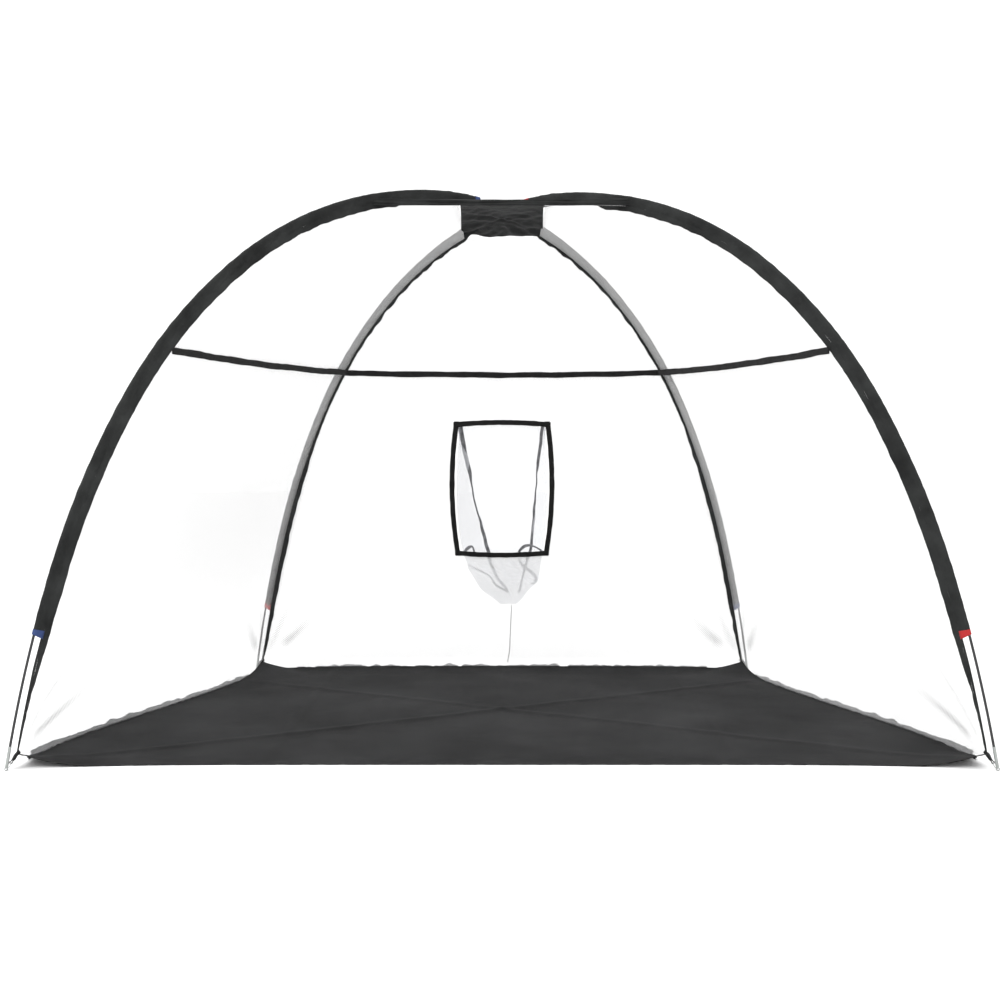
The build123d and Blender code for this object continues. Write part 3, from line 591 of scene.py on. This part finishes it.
def ridge_pairs(a, b, top_gap, size=0.03):
    """Matching distances up two ridges: level with each other, then sharing the way to the crossing."""
    heights = steps(0.06, FINE_ROWS_TOP, FINE_ROW) + steps(FINE_ROWS_TOP, LEVEL_TOP, size)[1:]
    pairs = [(a.at_height(h), b.at_height(h)) for h in heights]
    low = pairs[-1]
    high = (a.crossing - top_gap, b.crossing - top_gap)
    count = max(4, int((high[0] - low[0]) / size))
    pairs += [(mix(low[0], high[0], i / count), mix(low[1], high[1], i / count)) for i in range(1, count + 1)]
    return pairs


def corner_dot_strength(p):
    """How strongly dark dots are painted on the net at a point: two rays up from each lower corner."""
    front = p.y < 0
    corner = FRONT_CORNER if front else BACK_CORNER
    away = hypot(abs(p.x) - corner.x, p.y - corner.y)
    rise = p.z - 0.04
    distance = hypot(away, rise)
    angle = atan2(rise, max(1e-4, away))
    steep, low, reach = (0.82, 0.34, 0.66) if front else (1.12, 0.75, 0.45)
    upper = exp(-(distance * (angle - steep) / 0.017) ** 2) * smooth(distance, 0.04, 0.12)
    lower = exp(-(distance * (angle - low) / 0.028) ** 2) * smooth(distance, 0.10, 0.18)
    return (0.8 * upper + lower) * (1 - smooth(distance, reach * 0.4, reach))


def marks_of(rows):
    return [[corner_dot_strength(p) for p in row] for row in rows]


def side_wall(name, front, back, side):
    """Net wall between a front ridge and a back ridge, down to the ground sheet's side."""
    outward = Vector((2 * side - 1, 0, 0))
    rows = [[sheet_point(j / COLUMNS, side, NET_LIFT) for j in range(COLUMNS + 1)]]
    for a, b in ridge_pairs(front, back, SIDE_NET_TO_CROSSING):
        start, end = front.point(a, SEAM_OFFSET), back.point(b, SEAM_OFFSET)
        swell = fade(start.z, SIDE_BOW_HEIGHT)
        row = []
        for j in range(COLUMNS + 1):
            t = j / COLUMNS
            p = mix(start, end, t) + outward * (side_bow(t) * swell)
            slack = 0.006 * sin(pi * t) * wave(p.y * 1.7, p.z * 1.3, 3.0 + side)
            row.append(p + outward * slack)
        rows.append(row)
    wall = Cloth().grid(rows, marks=marks_of(rows)).build(name, NETTING, "white_netting")


def wall_y(height):
    """Depth of the back wall's seam line at a height."""
    left = RIDGES["back_left"]
    return left.point(left.at_height(height), SEAM_OFFSET).y


TARGET_LOW = Vector((0, wall_y(TARGET_Z - TARGET_HEIGHT / 2), TARGET_Z - TARGET_HEIGHT / 2))
TARGET_HIGH = Vector((0, wall_y(TARGET_Z + TARGET_HEIGHT / 2), TARGET_Z + TARGET_HEIGHT / 2))
TARGET_CENTRE = (TARGET_LOW + TARGET_HIGH) / 2
TARGET_UP = (TARGET_HIGH - TARGET_LOW).normalized()
TARGET_FRONT = Vector((1, 0, 0)).cross(TARGET_UP)


def on_target(x, y, out=0.0):
    """Point of the target's plane: x across, y up the wall, out towards the open front."""
    return TARGET_CENTRE + Vector((x, 0, 0)) + TARGET_UP * y + TARGET_FRONT * out


def target_pull(p):
    """Share by which the target's frame holds the wall flat at a point."""
    across = smooth(abs(p.x), 0.24, 0.60)
    up = smooth(abs(p.z - TARGET_Z), 0.34, 0.62)
    return (1 - across) * (1 - up)


def in_mouth(p):
    """Whether a point of the wall lies in the opening that the target's webbing frames."""
    half = MOUTH_HALF_WIDTH + MOUTH_BULGE * (1 - (2 * (p.z - TARGET_Z) / TARGET_HEIGHT) ** 2)
    return abs(p.x) < half and abs(p.z - TARGET_Z) < MOUTH_HALF_HEIGHT


def back_wall():
    """Net wall between the back ridges, drawn flat round the target and open behind it."""
    left, right = RIDGES["back_left"], RIDGES["back_right"]
    rows = [[sheet_point(1, j / COLUMNS, NET_LIFT) for j in range(COLUMNS + 1)]]
    pairs = ridge_pairs(left, right, SIDE_NET_TO_CROSSING, 0.0165)
    for i, (a, b) in enumerate(pairs):
        start, end = left.point(a, SEAM_OFFSET), right.point(b, SEAM_OFFSET)
        swell = (SHEET_BACK_Y - DEPTH / 2 + 0.04) * fade(start.z, BACK_BOW_HEIGHT)
        swell += BACK_NET_TOP_BOW * smooth(i, len(pairs) - BACK_NET_BOWED_ROWS, len(pairs) - 1)
        row = []
        for j in range(COLUMNS + 1):
            v = j / COLUMNS
            p = mix(start, end, v)
            slack = 0.006 * sin(pi * v) * wave(p.x * 1.6, p.z * 1.4, 8.0)
            p.y += swell * (1 - (2 * v - 1) ** 4) + slack
            flat_y = TARGET_CENTRE.y + (p.z - TARGET_Z) * TARGET_UP.y / TARGET_UP.z
            p.y = mix(p.y, flat_y, target_pull(p))
            row.append(p)
        rows.append(row)

    def keep(i, j):
        return not in_mouth((rows[i][j] + rows[i + 1][j + 1]) / 2)

    wall = Cloth().grid(rows, keep, marks_of(rows)).build("back_wall_net", NETTING, "white_netting")


def roof_net():
    """Two net triangles between the visor, the crown patch and the front ridges."""
    cloth = Cloth()
    for name, side in (("front_left", -1), ("front_right", 1)):
        ridge = RIDGES[name]
        low, high = FRONT_STRIP_END + 0.004, ridge.crossing - ROOF_NET_TO_CROSSING
        rows = []
        for distance in steps(low, high, 0.02):
            share = (distance - low) / (high - low)
            a = ridge.point(distance, SEAM_OFFSET)
            b = Vector((side * ROOF_NET_INNER_X, a.y, mix(ROOF_NET_LOW_Z, a.z, share)))
            rows.append([mix(a, b, j / 14) for j in range(15)])
        cloth.grid(rows)
    roof = cloth.build("roof_net", NETTING, "white_netting")


def ground_sheet():
    """Ground sheet with folded-in creases, a rolled hem and puckers along its sewn edges."""
    columns, lines = 180, 130
    rows = []
    for i in range(lines + 1):
        t = i / lines
        row = []
        for j in range(columns + 1):
            v = j / columns
            p = sheet_point(t, v)
            edge = min(t * 2.0, (1 - t) * 2.0, v * 3.0, (1 - v) * 3.0)
            swell = 0.004 * max(0.0, wave(p.x * 1.3, p.y * 1.6, 5.0))
            swell += 0.0022 * max(0.0, wave(p.x * 5.0, p.y * 4.0, 9.0))
            for slope in (-1, 1):
                off = (p.x * 0.55 - slope * (p.y - 0.05)) / 1.14
                swell += 0.0045 * exp(-(off / 0.022) ** 2)
            for fold in FOLD_LINES:
                swell += 0.003 * exp(-((p.x - fold) / 0.016) ** 2)
            pucker = 0.004 * exp(-edge / 0.05) * max(0.0, wave(p.x * 22, p.y * 22, 1.0))
            p.z += swell * smooth(edge, 0.0, 0.12) + pucker
            row.append(p)
        rows.append(row)
    sheet = Cloth().grid(rows).build("floor_sheet", SHEET, "black_ground_sheet")
    hem()


def hem():
    """Narrow folded hem round the ground sheet's edge."""
    cloth = Cloth()
    inset_t, inset_v = HEM_WIDTH / 2.0, HEM_WIDTH / 3.0

    def edge_rows(outer, inner, count):
        rows = []
        for i in range(count + 1):
            share = i / count
            a, b = outer(share), inner(share)
            rows.append([mix(a, b, k / 3) + UP * (0.0016 + 0.0012 * sin(pi * k / 3)) for k in range(4)])
        cloth.grid(rows)

    edge_rows(lambda k: sheet_point(0, k), lambda k: sheet_point(inset_t, k), 160)
    edge_rows(lambda k: sheet_point(1, k), lambda k: sheet_point(1 - inset_t, k), 160)
    edge_rows(lambda k: sheet_point(k, 0), lambda k: sheet_point(k, inset_v), 120)
    edge_rows(lambda k: sheet_point(k, 1), lambda k: sheet_point(k, 1 - inset_v), 120)
    return cloth.build("floor_hem", WEBBING, "black_webbing", stands_in=False)


def floor_skirt(name, place, count, outward, height):
    """Loose crumpled strip outside an edge of the ground sheet, with a ragged outer edge."""
    rows = []
    for i in range(count + 1):
        share = mix(0.07, 0.93, i / count)
        start = place(share)
        turn = share * 8 + 1.1 * wave(share * 4, 1.0)
        flap = turn % 1.0
        reach = 0.030 + 0.026 * wave(int(turn) * 1.7, 4.0)
        width = 0.018 + reach * (1 - flap) ** 0.5 * smooth(flap, 0.0, 0.25) + 0.005 * wave(share * 38, 2.0)
        width *= smooth(min(share - 0.06, 0.94 - share), 0.0, 0.05)
        row = []
        for k in range(9):
            p = start + outward * (0.002 + max(0.010, width) * k / 8)
            crumple = max(0.15, 0.60 + 0.40 * wave(share * 45, k * 0.8, 6.0))
            p.z = 0.0012 + height * crumple * sin(pi * (k + 0.6) / 9.6)
            row.append(p)
        rows.append(row)
    return Cloth().grid(rows).build(name, SKIRT, "black_ground_sheet")


def skirts():
    lean = (FRONT_CORNER.x - BACK_CORNER.x) / DEPTH
    right = Vector((1, lean, 0)).normalized()
    left = Vector((-right.x, right.y, 0))
    edges = (
        ("left", lambda k: sheet_point(k, 0), 220, left, 0.014, (1.70, 0.05)),
        ("right", lambda k: sheet_point(k, 1), 220, right, 0.014, (1.70, 0.05)),
        ("back", lambda k: sheet_point(1, k), 260, Vector((0, 1, 0)), 0.027, (2.14, 0.07)),
    )
    for side, place, count, outward, height, size in edges:
        skirt = floor_skirt(side + "_floor_skirt", place, count, outward, height)


# ---- sewn strips along the poles

def sleeve_outline():
    """Mid-line of the sleeve's cloth: out from the seam, round the pole and back, as (inward, across)."""
    side = [(0.033, 0.0007), (0.025, 0.0025), (0.017, 0.0044), (0.008, 0.0062)]
    nose = [(-SLEEVE_NOSE * cos(a), SLEEVE_NOSE * sin(a)) for a in (pi / 2 - i * pi / 8 for i in range(9))]
    return side + nose + [(inward, -across) for inward, across in reversed(side)]


def pole_sleeve(side_name, start, tab_cloth):
    """Gathered sleeve over a pole, with a coloured cuff at its open ends."""
    ridge = RIDGES[side_name]
    outline = sleeve_outline()
    name = side_name + "_pole_sleeve"
    end = ridge.crossing - SLEEVE_TO_CROSSING
    colour = "blue" if ridge.pole is BLUE else "red"
    slack = CROWN_SLACK[colour] if ridge.from_start else BACK_SLACK
    rows = []
    for distance in steps(start, end, 0.010):
        shoulder = exp(-((distance - 2.0) / 0.7) ** 2)
        proud = 1 + slack * smooth(distance, end - CROWN_SLACK_LENGTH, end)
        row = []
        for inward, across in outline:
            middle = sin(pi * min(1.0, max(0.0, (inward - 0.006) / 0.027)))
            turned = 2.0 if across > 0 else 7.0
            diagonal = wave(distance * 13 + inward * 75, inward * 25, turned)
            fine = wave(distance * 42 + inward * 160, inward * 30, turned + 1)
            lift = middle * ((0.0030 + 0.0032 * shoulder) * diagonal + (0.0010 + 0.0020 * shoulder) * fine)
            plump = max(0.94, 1 + 0.14 * wave(distance * 24, turned))
            nose = plump * proud if inward < 0 else 1
            raised = across * plump + lift
            raised = max(0.0006, raised) if across > 0 else min(-0.0006, raised)
            row.append(ridge.point(distance, inward * nose, raised))
        rows.append(row)
    sleeve = Cloth().grid(rows).build(name, OXFORD, "black_oxford")

    def cuff(low, high, slant, proud):
        rows = []
        for k in range(7):
            row = []
            for inward, across in outline:
                reach = slant * (inward + 0.007) / 0.04
                distance = mix(low, high, k / 6) - reach * (1 - k / 6)
                grow = 1.16 if inward < 0.02 else 1.5
                row.append(ridge.point(distance, inward * (proud if inward < 0 else 1), across * grow))
            rows.append(row)
        tab_cloth.grid(rows)

    cuff(start - 0.014, start + 0.005, 0.011, 1.08)
    if ridge.from_start:
        cuff(end + 0.020, end - 0.004, -0.004, 1.12 + slack)


def border_strip(side_name, table, end, edge_wave):
    """Flat strip sewn beside a sleeve's seam, its free edge wavy and most so near the crown."""
    ridge = RIDGES[side_name]
    name = side_name + "_border_strip"
    rows = []
    for distance in steps(table[0][0], end, 0.009):
        near, far = profile(table, distance)
        ruffle = edge_wave * (1 + 1.6 * smooth(distance, end - 1.0, end - 0.2))
        far += ruffle * (wave(distance * 19, 3.0) + 0.4 * wave(distance * 55, 9.0))
        if not ridge.from_start:
            far = mix(far, near + 0.004, smooth(distance, end - 0.05, end))
        row = []
        for k in range(7):
            share = k / 6
            across = (0.0004 + 0.0030 * share) * wave(distance * 15, share * 0.8, 4.0)
            row.append(ridge.point(distance, mix(near, far, share), across))
        rows.append(row)
    strip = Cloth().grid(rows).build(name, OXFORD, "black_oxford", thickness=0.0009)


def poles_cloth():
    blue_tabs, red_tabs = Cloth(), Cloth()
    for name, ridge in RIDGES.items():
        start = FRONT_SLEEVE_START if ridge.from_start else BACK_SLEEVE_START
        tabs = blue_tabs if ridge.pole is BLUE else red_tabs
        pole_sleeve(name, start, tabs)
        if ridge.from_start:
            border_strip(name, FRONT_STRIP_PROFILE, FRONT_STRIP_TIP, 0.0012)
        else:
            end = ridge.crossing - BACK_STRIP_TO_CROSSING
            border_strip(name, BACK_STRIP_PROFILE, end, 0.0018)
    for colour, cloth, material in (("blue", blue_tabs, BLUE_BINDING), ("red", red_tabs, RED_BINDING)):
        name = colour + "_sleeve_tabs"
        tabs = cloth.build(name, material, colour + "_binding", thickness=0.0008)


def visor():
    """Level strip across the top of the opening, with slack in long folds and a turned hem below."""
    y = RIDGES["front_left"].point(FRONT_STRIP_END, 0.034).y - 0.001
    low, high = VISOR_HEIGHTS
    rows = []
    for x in steps(-VISOR_HALF_WIDTH, VISOR_HALF_WIDTH, 0.009):
        lean = 0.004 * (1 - (x / VISOR_HALF_WIDTH) ** 2)
        row = []
        for k in range(13):
            share = k / 12
            fold = 0.0040 * wave(x * 4, share * 3.0, 2.0) + 0.0016 * wave(x * 13, share * 6, 7.0)
            hem = 0.0022 * exp(-((share - 0.13) / 0.05) ** 2)
            height = mix(low, high - lean, share) + 0.0010 * wave(x * 6, 4.0)
            row.append(Vector((x, y + fold * smooth(share, 0.1, 0.3) - hem, height)))
        rows.append(row)
    strip = Cloth().grid(rows).build("front_visor", OXFORD, "black_oxford", thickness=0.0009)


# Crown patch: y, half width, height at the middle and at the edges, and how far the middle bows back
PATCH_ROWS = (
    (-0.180, 0.172, 2.147, 2.147, 0.0),
    (-0.070, 0.174, 2.152, 2.147, 0.0),
    (0.060, 0.177, 2.148, 2.134, 0.0),
    (0.165, 0.180, 2.128, 2.116, 0.008),
    (0.262, 0.183, 2.097, 2.100, 0.052),
)
CROSSING_Y = 0.125


def crown_patch():
    """Gathered patch under the crossing, with the poles' cross pressed into it."""
    rows = []
    for y in steps(PATCH_ROWS[0][0], PATCH_ROWS[-1][0], 0.008):
        half, middle_z, edge_z, sag = profile(PATCH_ROWS, y)
        row = []
        for j in range(49):
            k = 2 * j / 48 - 1
            p = Vector((half * k, y + sag * (1 - k * k), mix(middle_z, edge_z, k * k)))
            dx, dy = p.x, p.y - CROSSING_Y
            turn = atan2(dx, dy)
            radius = hypot(dx, dy)
            rear = smooth(p.y, 0.12, 0.27)
            hemmed = 1 - 0.75 * smooth(p.y, 0.24, 0.31)
            p.z += 0.006 * rear * sin(turn * 13) * smooth(radius, 0.02, 0.12) * (1 - 0.5 * abs(k)) * hemmed
            p.z += 0.0035 * sin(turn * 8 + 2 * wave(p.x * 6, p.y * 6)) * smooth(radius, 0.02, 0.15)
            for slope in (-1, 1):
                off = (dy - slope * dx * 0.66) / 1.2
                p.z += 0.005 * exp(-(off / 0.008) ** 2) * (1 - smooth(radius, 0.06, 0.2))
            p.z += 0.002 * wave(p.x * 30, p.y * 30, 1.0)
            row.append(p)
        rows.append(row)
    patch = Cloth().grid(rows).build("crown_patch", PATCH_CLOTH, "black_oxford")


# ---- strap, target and pocket

def wall_strap():
    """Webbing strap sewn level round the three walls."""
    ends = {}
    for name, ridge in RIDGES.items():
        ends[name] = ridge.point(ridge.at_height(STRAP_HEIGHT, STRAP_REACH), STRAP_REACH)
    runs = (
        ("front_left", "back_left", Vector((1, 0, 0))),
        ("back_left", "back_right", Vector((0, -1, 0))),
        ("front_right", "back_right", Vector((-1, 0, 0))),
    )
    cloth = Cloth()
    for start, end, inward in runs:
        a, b = ends[start], ends[end]
        rows = []
        for share in steps(0, 1, 0.008):
            centre = mix(a, b, share) + inward * 0.005 - UP * (0.010 * sin(pi * share))
            centre += UP * (0.0015 * wave(share * 9, a.x))
            half = STRAP_WIDTH / 2 + 0.0009 * wave(share * 30, a.y)
            flutter = [inward * (0.0012 * wave(share * 20, k, a.x)) for k in range(5)]
            rows.append([centre + UP * (half * (k / 2 - 1)) + flutter[k] for k in range(5)])
        cloth.grid(rows)
    strap = cloth.build("wall_strap", WEBBING, "black_webbing", thickness=0.0014)


def bowed_band(cloth, start, end, bow, inside, out, seed, overlap=0.004):
    """Webbing band between two corners of the target, bowed outwards."""
    a, b = Vector((*start, 0)), Vector((*end, 0))
    along = (b - a).normalized()
    side = Vector((along.y, -along.x, 0)) * inside
    rows = []
    for share in steps(0, 1, 0.02):
        bowed = bow * (1 - (2 * share - 1) ** 2)
        base = mix(a - along * overlap, b + along * overlap, share) - side * bowed
        row = []
        for k in range(5):
            wobble = 0.0009 * wave(share * 14, k * 0.2, seed)
            q = base + side * (WEBBING_WIDTH * k / 4 + wobble)
            row.append(on_target(q.x, q.y, out + 0.0010 * wave(share * 9, k * 0.4, seed + 3)))
        rows.append(row)
    cloth.grid(rows)


def target_frame():
    cloth = Cloth()
    top, bottom, half = TARGET_TOP_WIDTH / 2, TARGET_BOTTOM_WIDTH / 2, TARGET_HEIGHT / 2
    bowed_band(cloth, (top, half), (bottom, -half), TARGET_SIDE_BULGE, 1, 0.0045, 1.0)
    bowed_band(cloth, (-top, half), (-bottom, -half), TARGET_SIDE_BULGE, -1, 0.0045, 2.0)
    bowed_band(cloth, (-top, half), (top, half), TARGET_END_BOW, 1, 0.0068, 3.0)
    bowed_band(cloth, (-bottom, -half), (bottom, -half), TARGET_END_BOW, -1, 0.0068, 4.0)
    name = "target_frame_webbing"
    webbing = cloth.build(name, WEBBING, "black_webbing", thickness=0.0016)


def pocket_level(height):
    table = [(-row[0], *row[1:]) for row in POCKET_LEVELS]
    return profile(table, -height)


def curve_through(points, share):
    """Catmull-Rom curve through points, share from 0 to 1."""
    spans = len(points) - 1
    index = min(spans - 1, int(share * spans))
    t = share * spans - index
    before = points[max(0, index - 1)]
    a, b = points[index], points[index + 1]
    after = points[min(spans, index + 2)]
    square = 2 * before - 5 * a + 4 * b - after
    cube = 3 * a - before - 3 * b + after
    return 0.5 * (2 * a + (b - before) * t + square * t * t + cube * t ** 3)


def pocket_point(height, share):
    """Point of the pocket's back: share runs from its left edge round to its right edge."""
    left, right, near, far, seam_left, seam_right = pocket_level(height)
    y = TARGET_CENTRE.y + (height - TARGET_Z) * TARGET_UP.y / TARGET_UP.z if height > 0.6 else wall_y(height)
    depth = far - near
    points = [
        Vector((left, y + near, height)),
        Vector((mix(left, seam_left, 0.35), y + near + 0.42 * depth, height)),
        Vector((seam_left, y + near + 0.86 * depth, height)),
        Vector((mix(seam_left, seam_right, 0.5), y + far, height)),
        Vector((seam_right, y + near + 0.86 * depth, height)),
        Vector((mix(right, seam_right, 0.35), y + near + 0.42 * depth, height)),
        Vector((right, y + near, height)),
    ]
    return curve_through(points, share)


def pocket():
    """Mesh bag: side gussets, a back panel and a lobe that hangs below the target; gussets and lobe carry
    painted shade.
    """
    heights = steps(0.343, 1.262, 0.011)[::-1]
    rows, marks = [], []
    for height in heights:
        low = 1 - smooth(height, 0.45, 0.85)
        row, mark = [], []
        for j in range(61):
            share = j / 60
            p = pocket_point(height, share)
            inside = sin(pi * share)
            p.x += inside * (0.004 + 0.010 * low) * wave(p.x * 9, p.z * 8, 2.0)
            p.y += inside * (0.004 + 0.008 * low) * wave(p.x * 8, p.z * 7, 6.0)
            row.append(p)
            # Painted shade: the gussets are painted grey, the left one darker than the right, and the lobe
            # below the target too.
            gusset_shade = 0.75 * (1 - smooth(share, 0.29, 0.35)) + 0.45 * smooth(share, 0.65, 0.71)
            mark.append(max(gusset_shade, 0.85 * (1 - smooth(height, 0.56, 0.66))))
        rows.append(row)
        marks.append(mark)
    cloth = Cloth().grid(rows, marks=marks)
    front = []
    for height in [h for h in heights if h < 0.625]:
        a, b = pocket_point(height, 0), pocket_point(height, 1)
        row = []
        for j in range(31):
            share = j / 30
            p = mix(a, b, share)
            swell = 0.012 * sin(pi * share) * smooth(0.6 - height, 0, 0.12)
            p.y += swell * (1 + wave(p.x * 10, p.z * 9, 4.0))
            row.append(p)
        front.append(row)
    cloth.grid(front)
    bag = cloth.build("target_pocket_net", POCKET_MESH, "white_pocket_mesh")


def tape(cloth, path, width, facing):
    """Ribbon along a list of points, lying across the facing direction."""
    rows = []
    for i, p in enumerate(path):
        along = (path[min(i + 1, len(path) - 1)] - path[max(i - 1, 0)]).normalized()
        side = along.cross(facing).normalized() * (width(i / (len(path) - 1)) / 2)
        rows.append([p - side, p, p + side])
    cloth.grid(rows)


def pocket_tapes():
    """Binding tapes on the pocket's two back seams, and the curled loops at its lower corners."""
    cloth = Cloth()
    facing = Vector((0, 1, 0))
    left_widths = (
        (0, 0.022), (0.26, 0.020), (0.34, 0.007), (0.52, 0.008), (0.62, 0.016), (0.75, 0.018), (1, 0.012)
    )
    right_widths = (
        (0, 0.016), (0.22, 0.014), (0.28, 0.006), (0.40, 0.007), (0.50, 0.013), (0.75, 0.014), (1, 0.010)
    )
    for share, widths in ((2 / 6, left_widths), (4 / 6, right_widths)):
        path = []
        for height in steps(0.40, 1.255, 0.012)[::-1]:
            p = pocket_point(height, share)
            path.append(p + Vector((0.003 * wave(height * 16, share * 9), -0.004, 0)))
        tape(cloth, path, lambda k, widths=widths: profile(widths, k)[0], facing)
    front = wall_y(0.62) + 0.026
    for ends, peak, start in (((-0.195, -0.140), 0.036, 0.612), ((0.085, 0.208), 0.036, 0.618)):
        path = []
        for share in steps(0, 1, 0.05):
            lean = 0.012 * sin(pi * share) * (1 if ends[0] < 0 else -1)
            height = start + peak * sin(pi * share) ** 0.8
            path.append(Vector((mix(*ends, share) + lean, front, height)))
        tape(cloth, path, lambda k: 0.012 + 0.004 * sin(6 * k), facing)
    fold = [(0.082, 0.990, 0.585), (0.098, 1.000, 0.556), (0.128, 1.008, 0.528), (0.158, 1.008, 0.503)]
    fold += [(0.174, 1.002, 0.480), (0.168, 1.000, 0.458), (0.148, 1.000, 0.452)]
    fold = [Vector(p) for p in fold]
    curl = [curve_through(fold, k / 24) for k in range(25)]
    tape(cloth, curl, lambda k: 0.008 + 0.010 * sin(pi * k), facing)
    seam = [(-0.174, 0.960, 0.552), (-0.112, 0.985, 0.520), (-0.060, 1.005, 0.488), (-0.034, 1.015, 0.446)]
    seam += [(0.030, 1.035, 0.408)]
    seam = [Vector(p) for p in seam]
    tape(cloth, [curve_through(seam, k / 20) for k in range(21)], lambda k: 0.005 + 0.006 * k, facing)
    tapes = cloth.build("pocket_seam_tapes", POCKET_TAPE, "grey_tape")


def nurbs_tube(name, places, radius, facets):
    """A curve with one NURBS spline and a round section, and that spline."""
    curve = bpy.data.curves.new(name, "CURVE")
    curve.dimensions = "3D"
    spline = curve.splines.new("NURBS")
    spline.points.add(len(places) - 1)
    for point, place in zip(spline.points, places):
        point.co = (*place, 1)
    curve.bevel_depth = radius
    curve.bevel_resolution = facets
    return curve, spline


def pull_cord():
    """Thin cord that hangs from the pocket's tip, with an overhand knot at its end."""
    curve, line = nurbs_tube("pocket_pull_cord", PULL_CORD_ROUTE, PULL_CORD_DIAMETER / 2, 4)
    line.order_u = 3
    line.use_endpoint_u = True
    curve.resolution_u = 16
    curve.materials.append(CORD)
    cord = show("pocket_pull_cord", curve)
    place_piece(cord, "dark_cord", "pocket_pull_cord")

    centre = Vector(PULL_CORD_ROUTE[-1]) - UP * 0.0045
    trefoil = []
    for i in range(KNOT_POINTS):
        a = 2 * pi * i / KNOT_POINTS
        x, y, z = sin(a) + 2 * sin(2 * a), cos(a) - 2 * cos(2 * a), -1.6 * sin(3 * a)
        trefoil.append(centre + Vector((KNOT_WIDTH * x, KNOT_WIDTH * z, KNOT_HEIGHT * y)))
    knot_line, loop = nurbs_tube("knot_line", trefoil, KNOT_STRAND_RADIUS, 3)
    loop.use_cyclic_u = True
    line_object = bpy.data.objects.new("knot_line", knot_line)
    mesh = bpy.data.meshes.new_from_object(line_object)
    mesh.materials.append(CORD)
    mesh.shade_smooth()
    bpy.data.objects.remove(line_object)
    knot = show("pull_cord_knot", mesh)
    place_piece(knot, "dark_cord", "pull_cord_knot")


# ---- corners

def corner_tails():
    """Webbing tails: each folds round its ring and runs doubled up to the sheet's corner."""
    cloth = Cloth()
    for ridge in RIDGES.values():
        direction = ridge.inwards * cos(TAIL_ANGLE) + UP * sin(TAIL_ANGLE)
        side = ridge.inwards.cross(UP)
        lift = side.cross(direction)
        foot_direction = (ridge.point(0.04) - ridge.foot).normalized()
        eye = ridge.foot + foot_direction * (EYELET_REACH / foot_direction.z)
        loop = eye + direction * (2 * RING_RADIUS)
        path = []
        for distance in (0.048, 0.040, 0.032, 0.024, 0.016, 0.010):
            path.append((distance, 0.0018 + 0.0010 * sin(pi * distance / 0.05)))
        for i in range(13):
            a = radians(40 + 280 * i / 12)
            path.append((TAIL_LOOP_RADIUS * cos(a), TAIL_LOOP_RADIUS * sin(a)))
        for distance in (0.010, 0.016, 0.024, 0.032, 0.040, 0.046):
            path.append((distance, -0.0018 - 0.0010 * sin(pi * distance / 0.05)))
        rows = []
        for distance, height in path:
            half = mix(TAIL_HALF_AT_RING, TAIL_HALF_WIDTH, smooth(distance, 0.004, 0.020))
            centre = loop + direction * distance + lift * height
            row = []
            for k in range(5):
                bunch = 0.0020 * wave(distance * 160, k * 0.9, 3.0) * smooth(distance, 0.008, 0.02)
                row.append(centre + side * (half * (k / 2 - 1)) + lift * bunch)
            rows.append(row)
        cloth.grid(rows)
    tails = cloth.build("corner_webbing_tails", WEBBING, "black_webbing", thickness=0.0011)


def paint(node, material):
    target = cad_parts[node]
    if not target.material_slots:
        target.data.materials.append(material)
    for holder in target.material_slots:
        holder.material = material


def paint_frame():
    for pole in ("blue", "red"):
        for i in range(SECTIONS):
            paint(f"{pole}_pole_section_{i + 1}", FIBREGLASS)
        paint(f"{pole}_pole_ferrules", ZINC)
        paint(f"{pole}_pole_shock_cord", ELASTIC)
    paint("pole_end_tubes", ZINC)
    for name in RIDGES:
        paint(name + "_ground_pin", ZINC)
        paint(name + "_corner_ring", RING_STEEL)


# ---- camera and light

def camera():
    data = bpy.data.cameras.new("camera")
    data.lens = CAMERA_LENS
    data.sensor_width = 36
    data.shift_x = CAMERA_SHIFT
    eye = show("camera", data)
    eye.location = CAMERA_PLACE
    eye.rotation_euler = (radians(90) - CAMERA_TILT, 0, 0)
    bpy.context.scene.camera = eye


def area_light(name, place, target, size, power):
    data = bpy.data.lights.new(name, "AREA")
    data.shape = "SQUARE"
    data.size = size
    data.energy = power
    light = show(name, data)
    light.location = place
    light.rotation_euler = (Vector(target) - Vector(place)).to_track_quat("-Z", "Y").to_euler()


def studio():
    """Near-white floor, white surroundings and large soft lights."""
    world = bpy.data.worlds.new("studio")
    world.use_nodes = True
    fill(world.node_tree, world.node_tree.nodes["Background"], {"Color": (1, 1, 1, 1), "Strength": 1.2})
    bpy.context.scene.world = world
    mesh = bpy.data.meshes.new("studio_floor")
    size = 30
    corners = [(-size, -size, 0), (size, -size, 0), (size, size, 0), (-size, size, 0)]
    mesh.from_pydata(corners, [], [(0, 1, 2, 3)])
    floor = show("studio_floor", mesh)
    floor.location.z = -0.0005
    material, tree, shader = new_material("studio_white")
    fill(tree, shader, {"Base Color": (0.96, 0.96, 0.96, 1), "Roughness": 1.0, "Specular IOR Level": 0.0})
    mesh.materials.append(material)
    area_light("key", (-2.5, -5.0, 5.0), (0, 0, 0.8), size=4.0, power=230)
    area_light("top", (0, 0.5, 6.0), (0, 0, 0), size=5.0, power=70)
    bpy.context.scene.view_settings.view_transform = "Standard"
    bpy.context.scene.view_settings.look = "None"
    bpy.context.scene.view_settings.exposure = 0.0


camera()
pull_cord()
ground_sheet()
skirts()
side_wall("left_wall_net", RIDGES["front_left"], RIDGES["back_left"], 0)
side_wall("right_wall_net", RIDGES["front_right"], RIDGES["back_right"], 1)
back_wall()
roof_net()
poles_cloth()
visor()
crown_patch()
wall_strap()
target_frame()
pocket()
pocket_tapes()
corner_tails()
paint_frame()
studio()
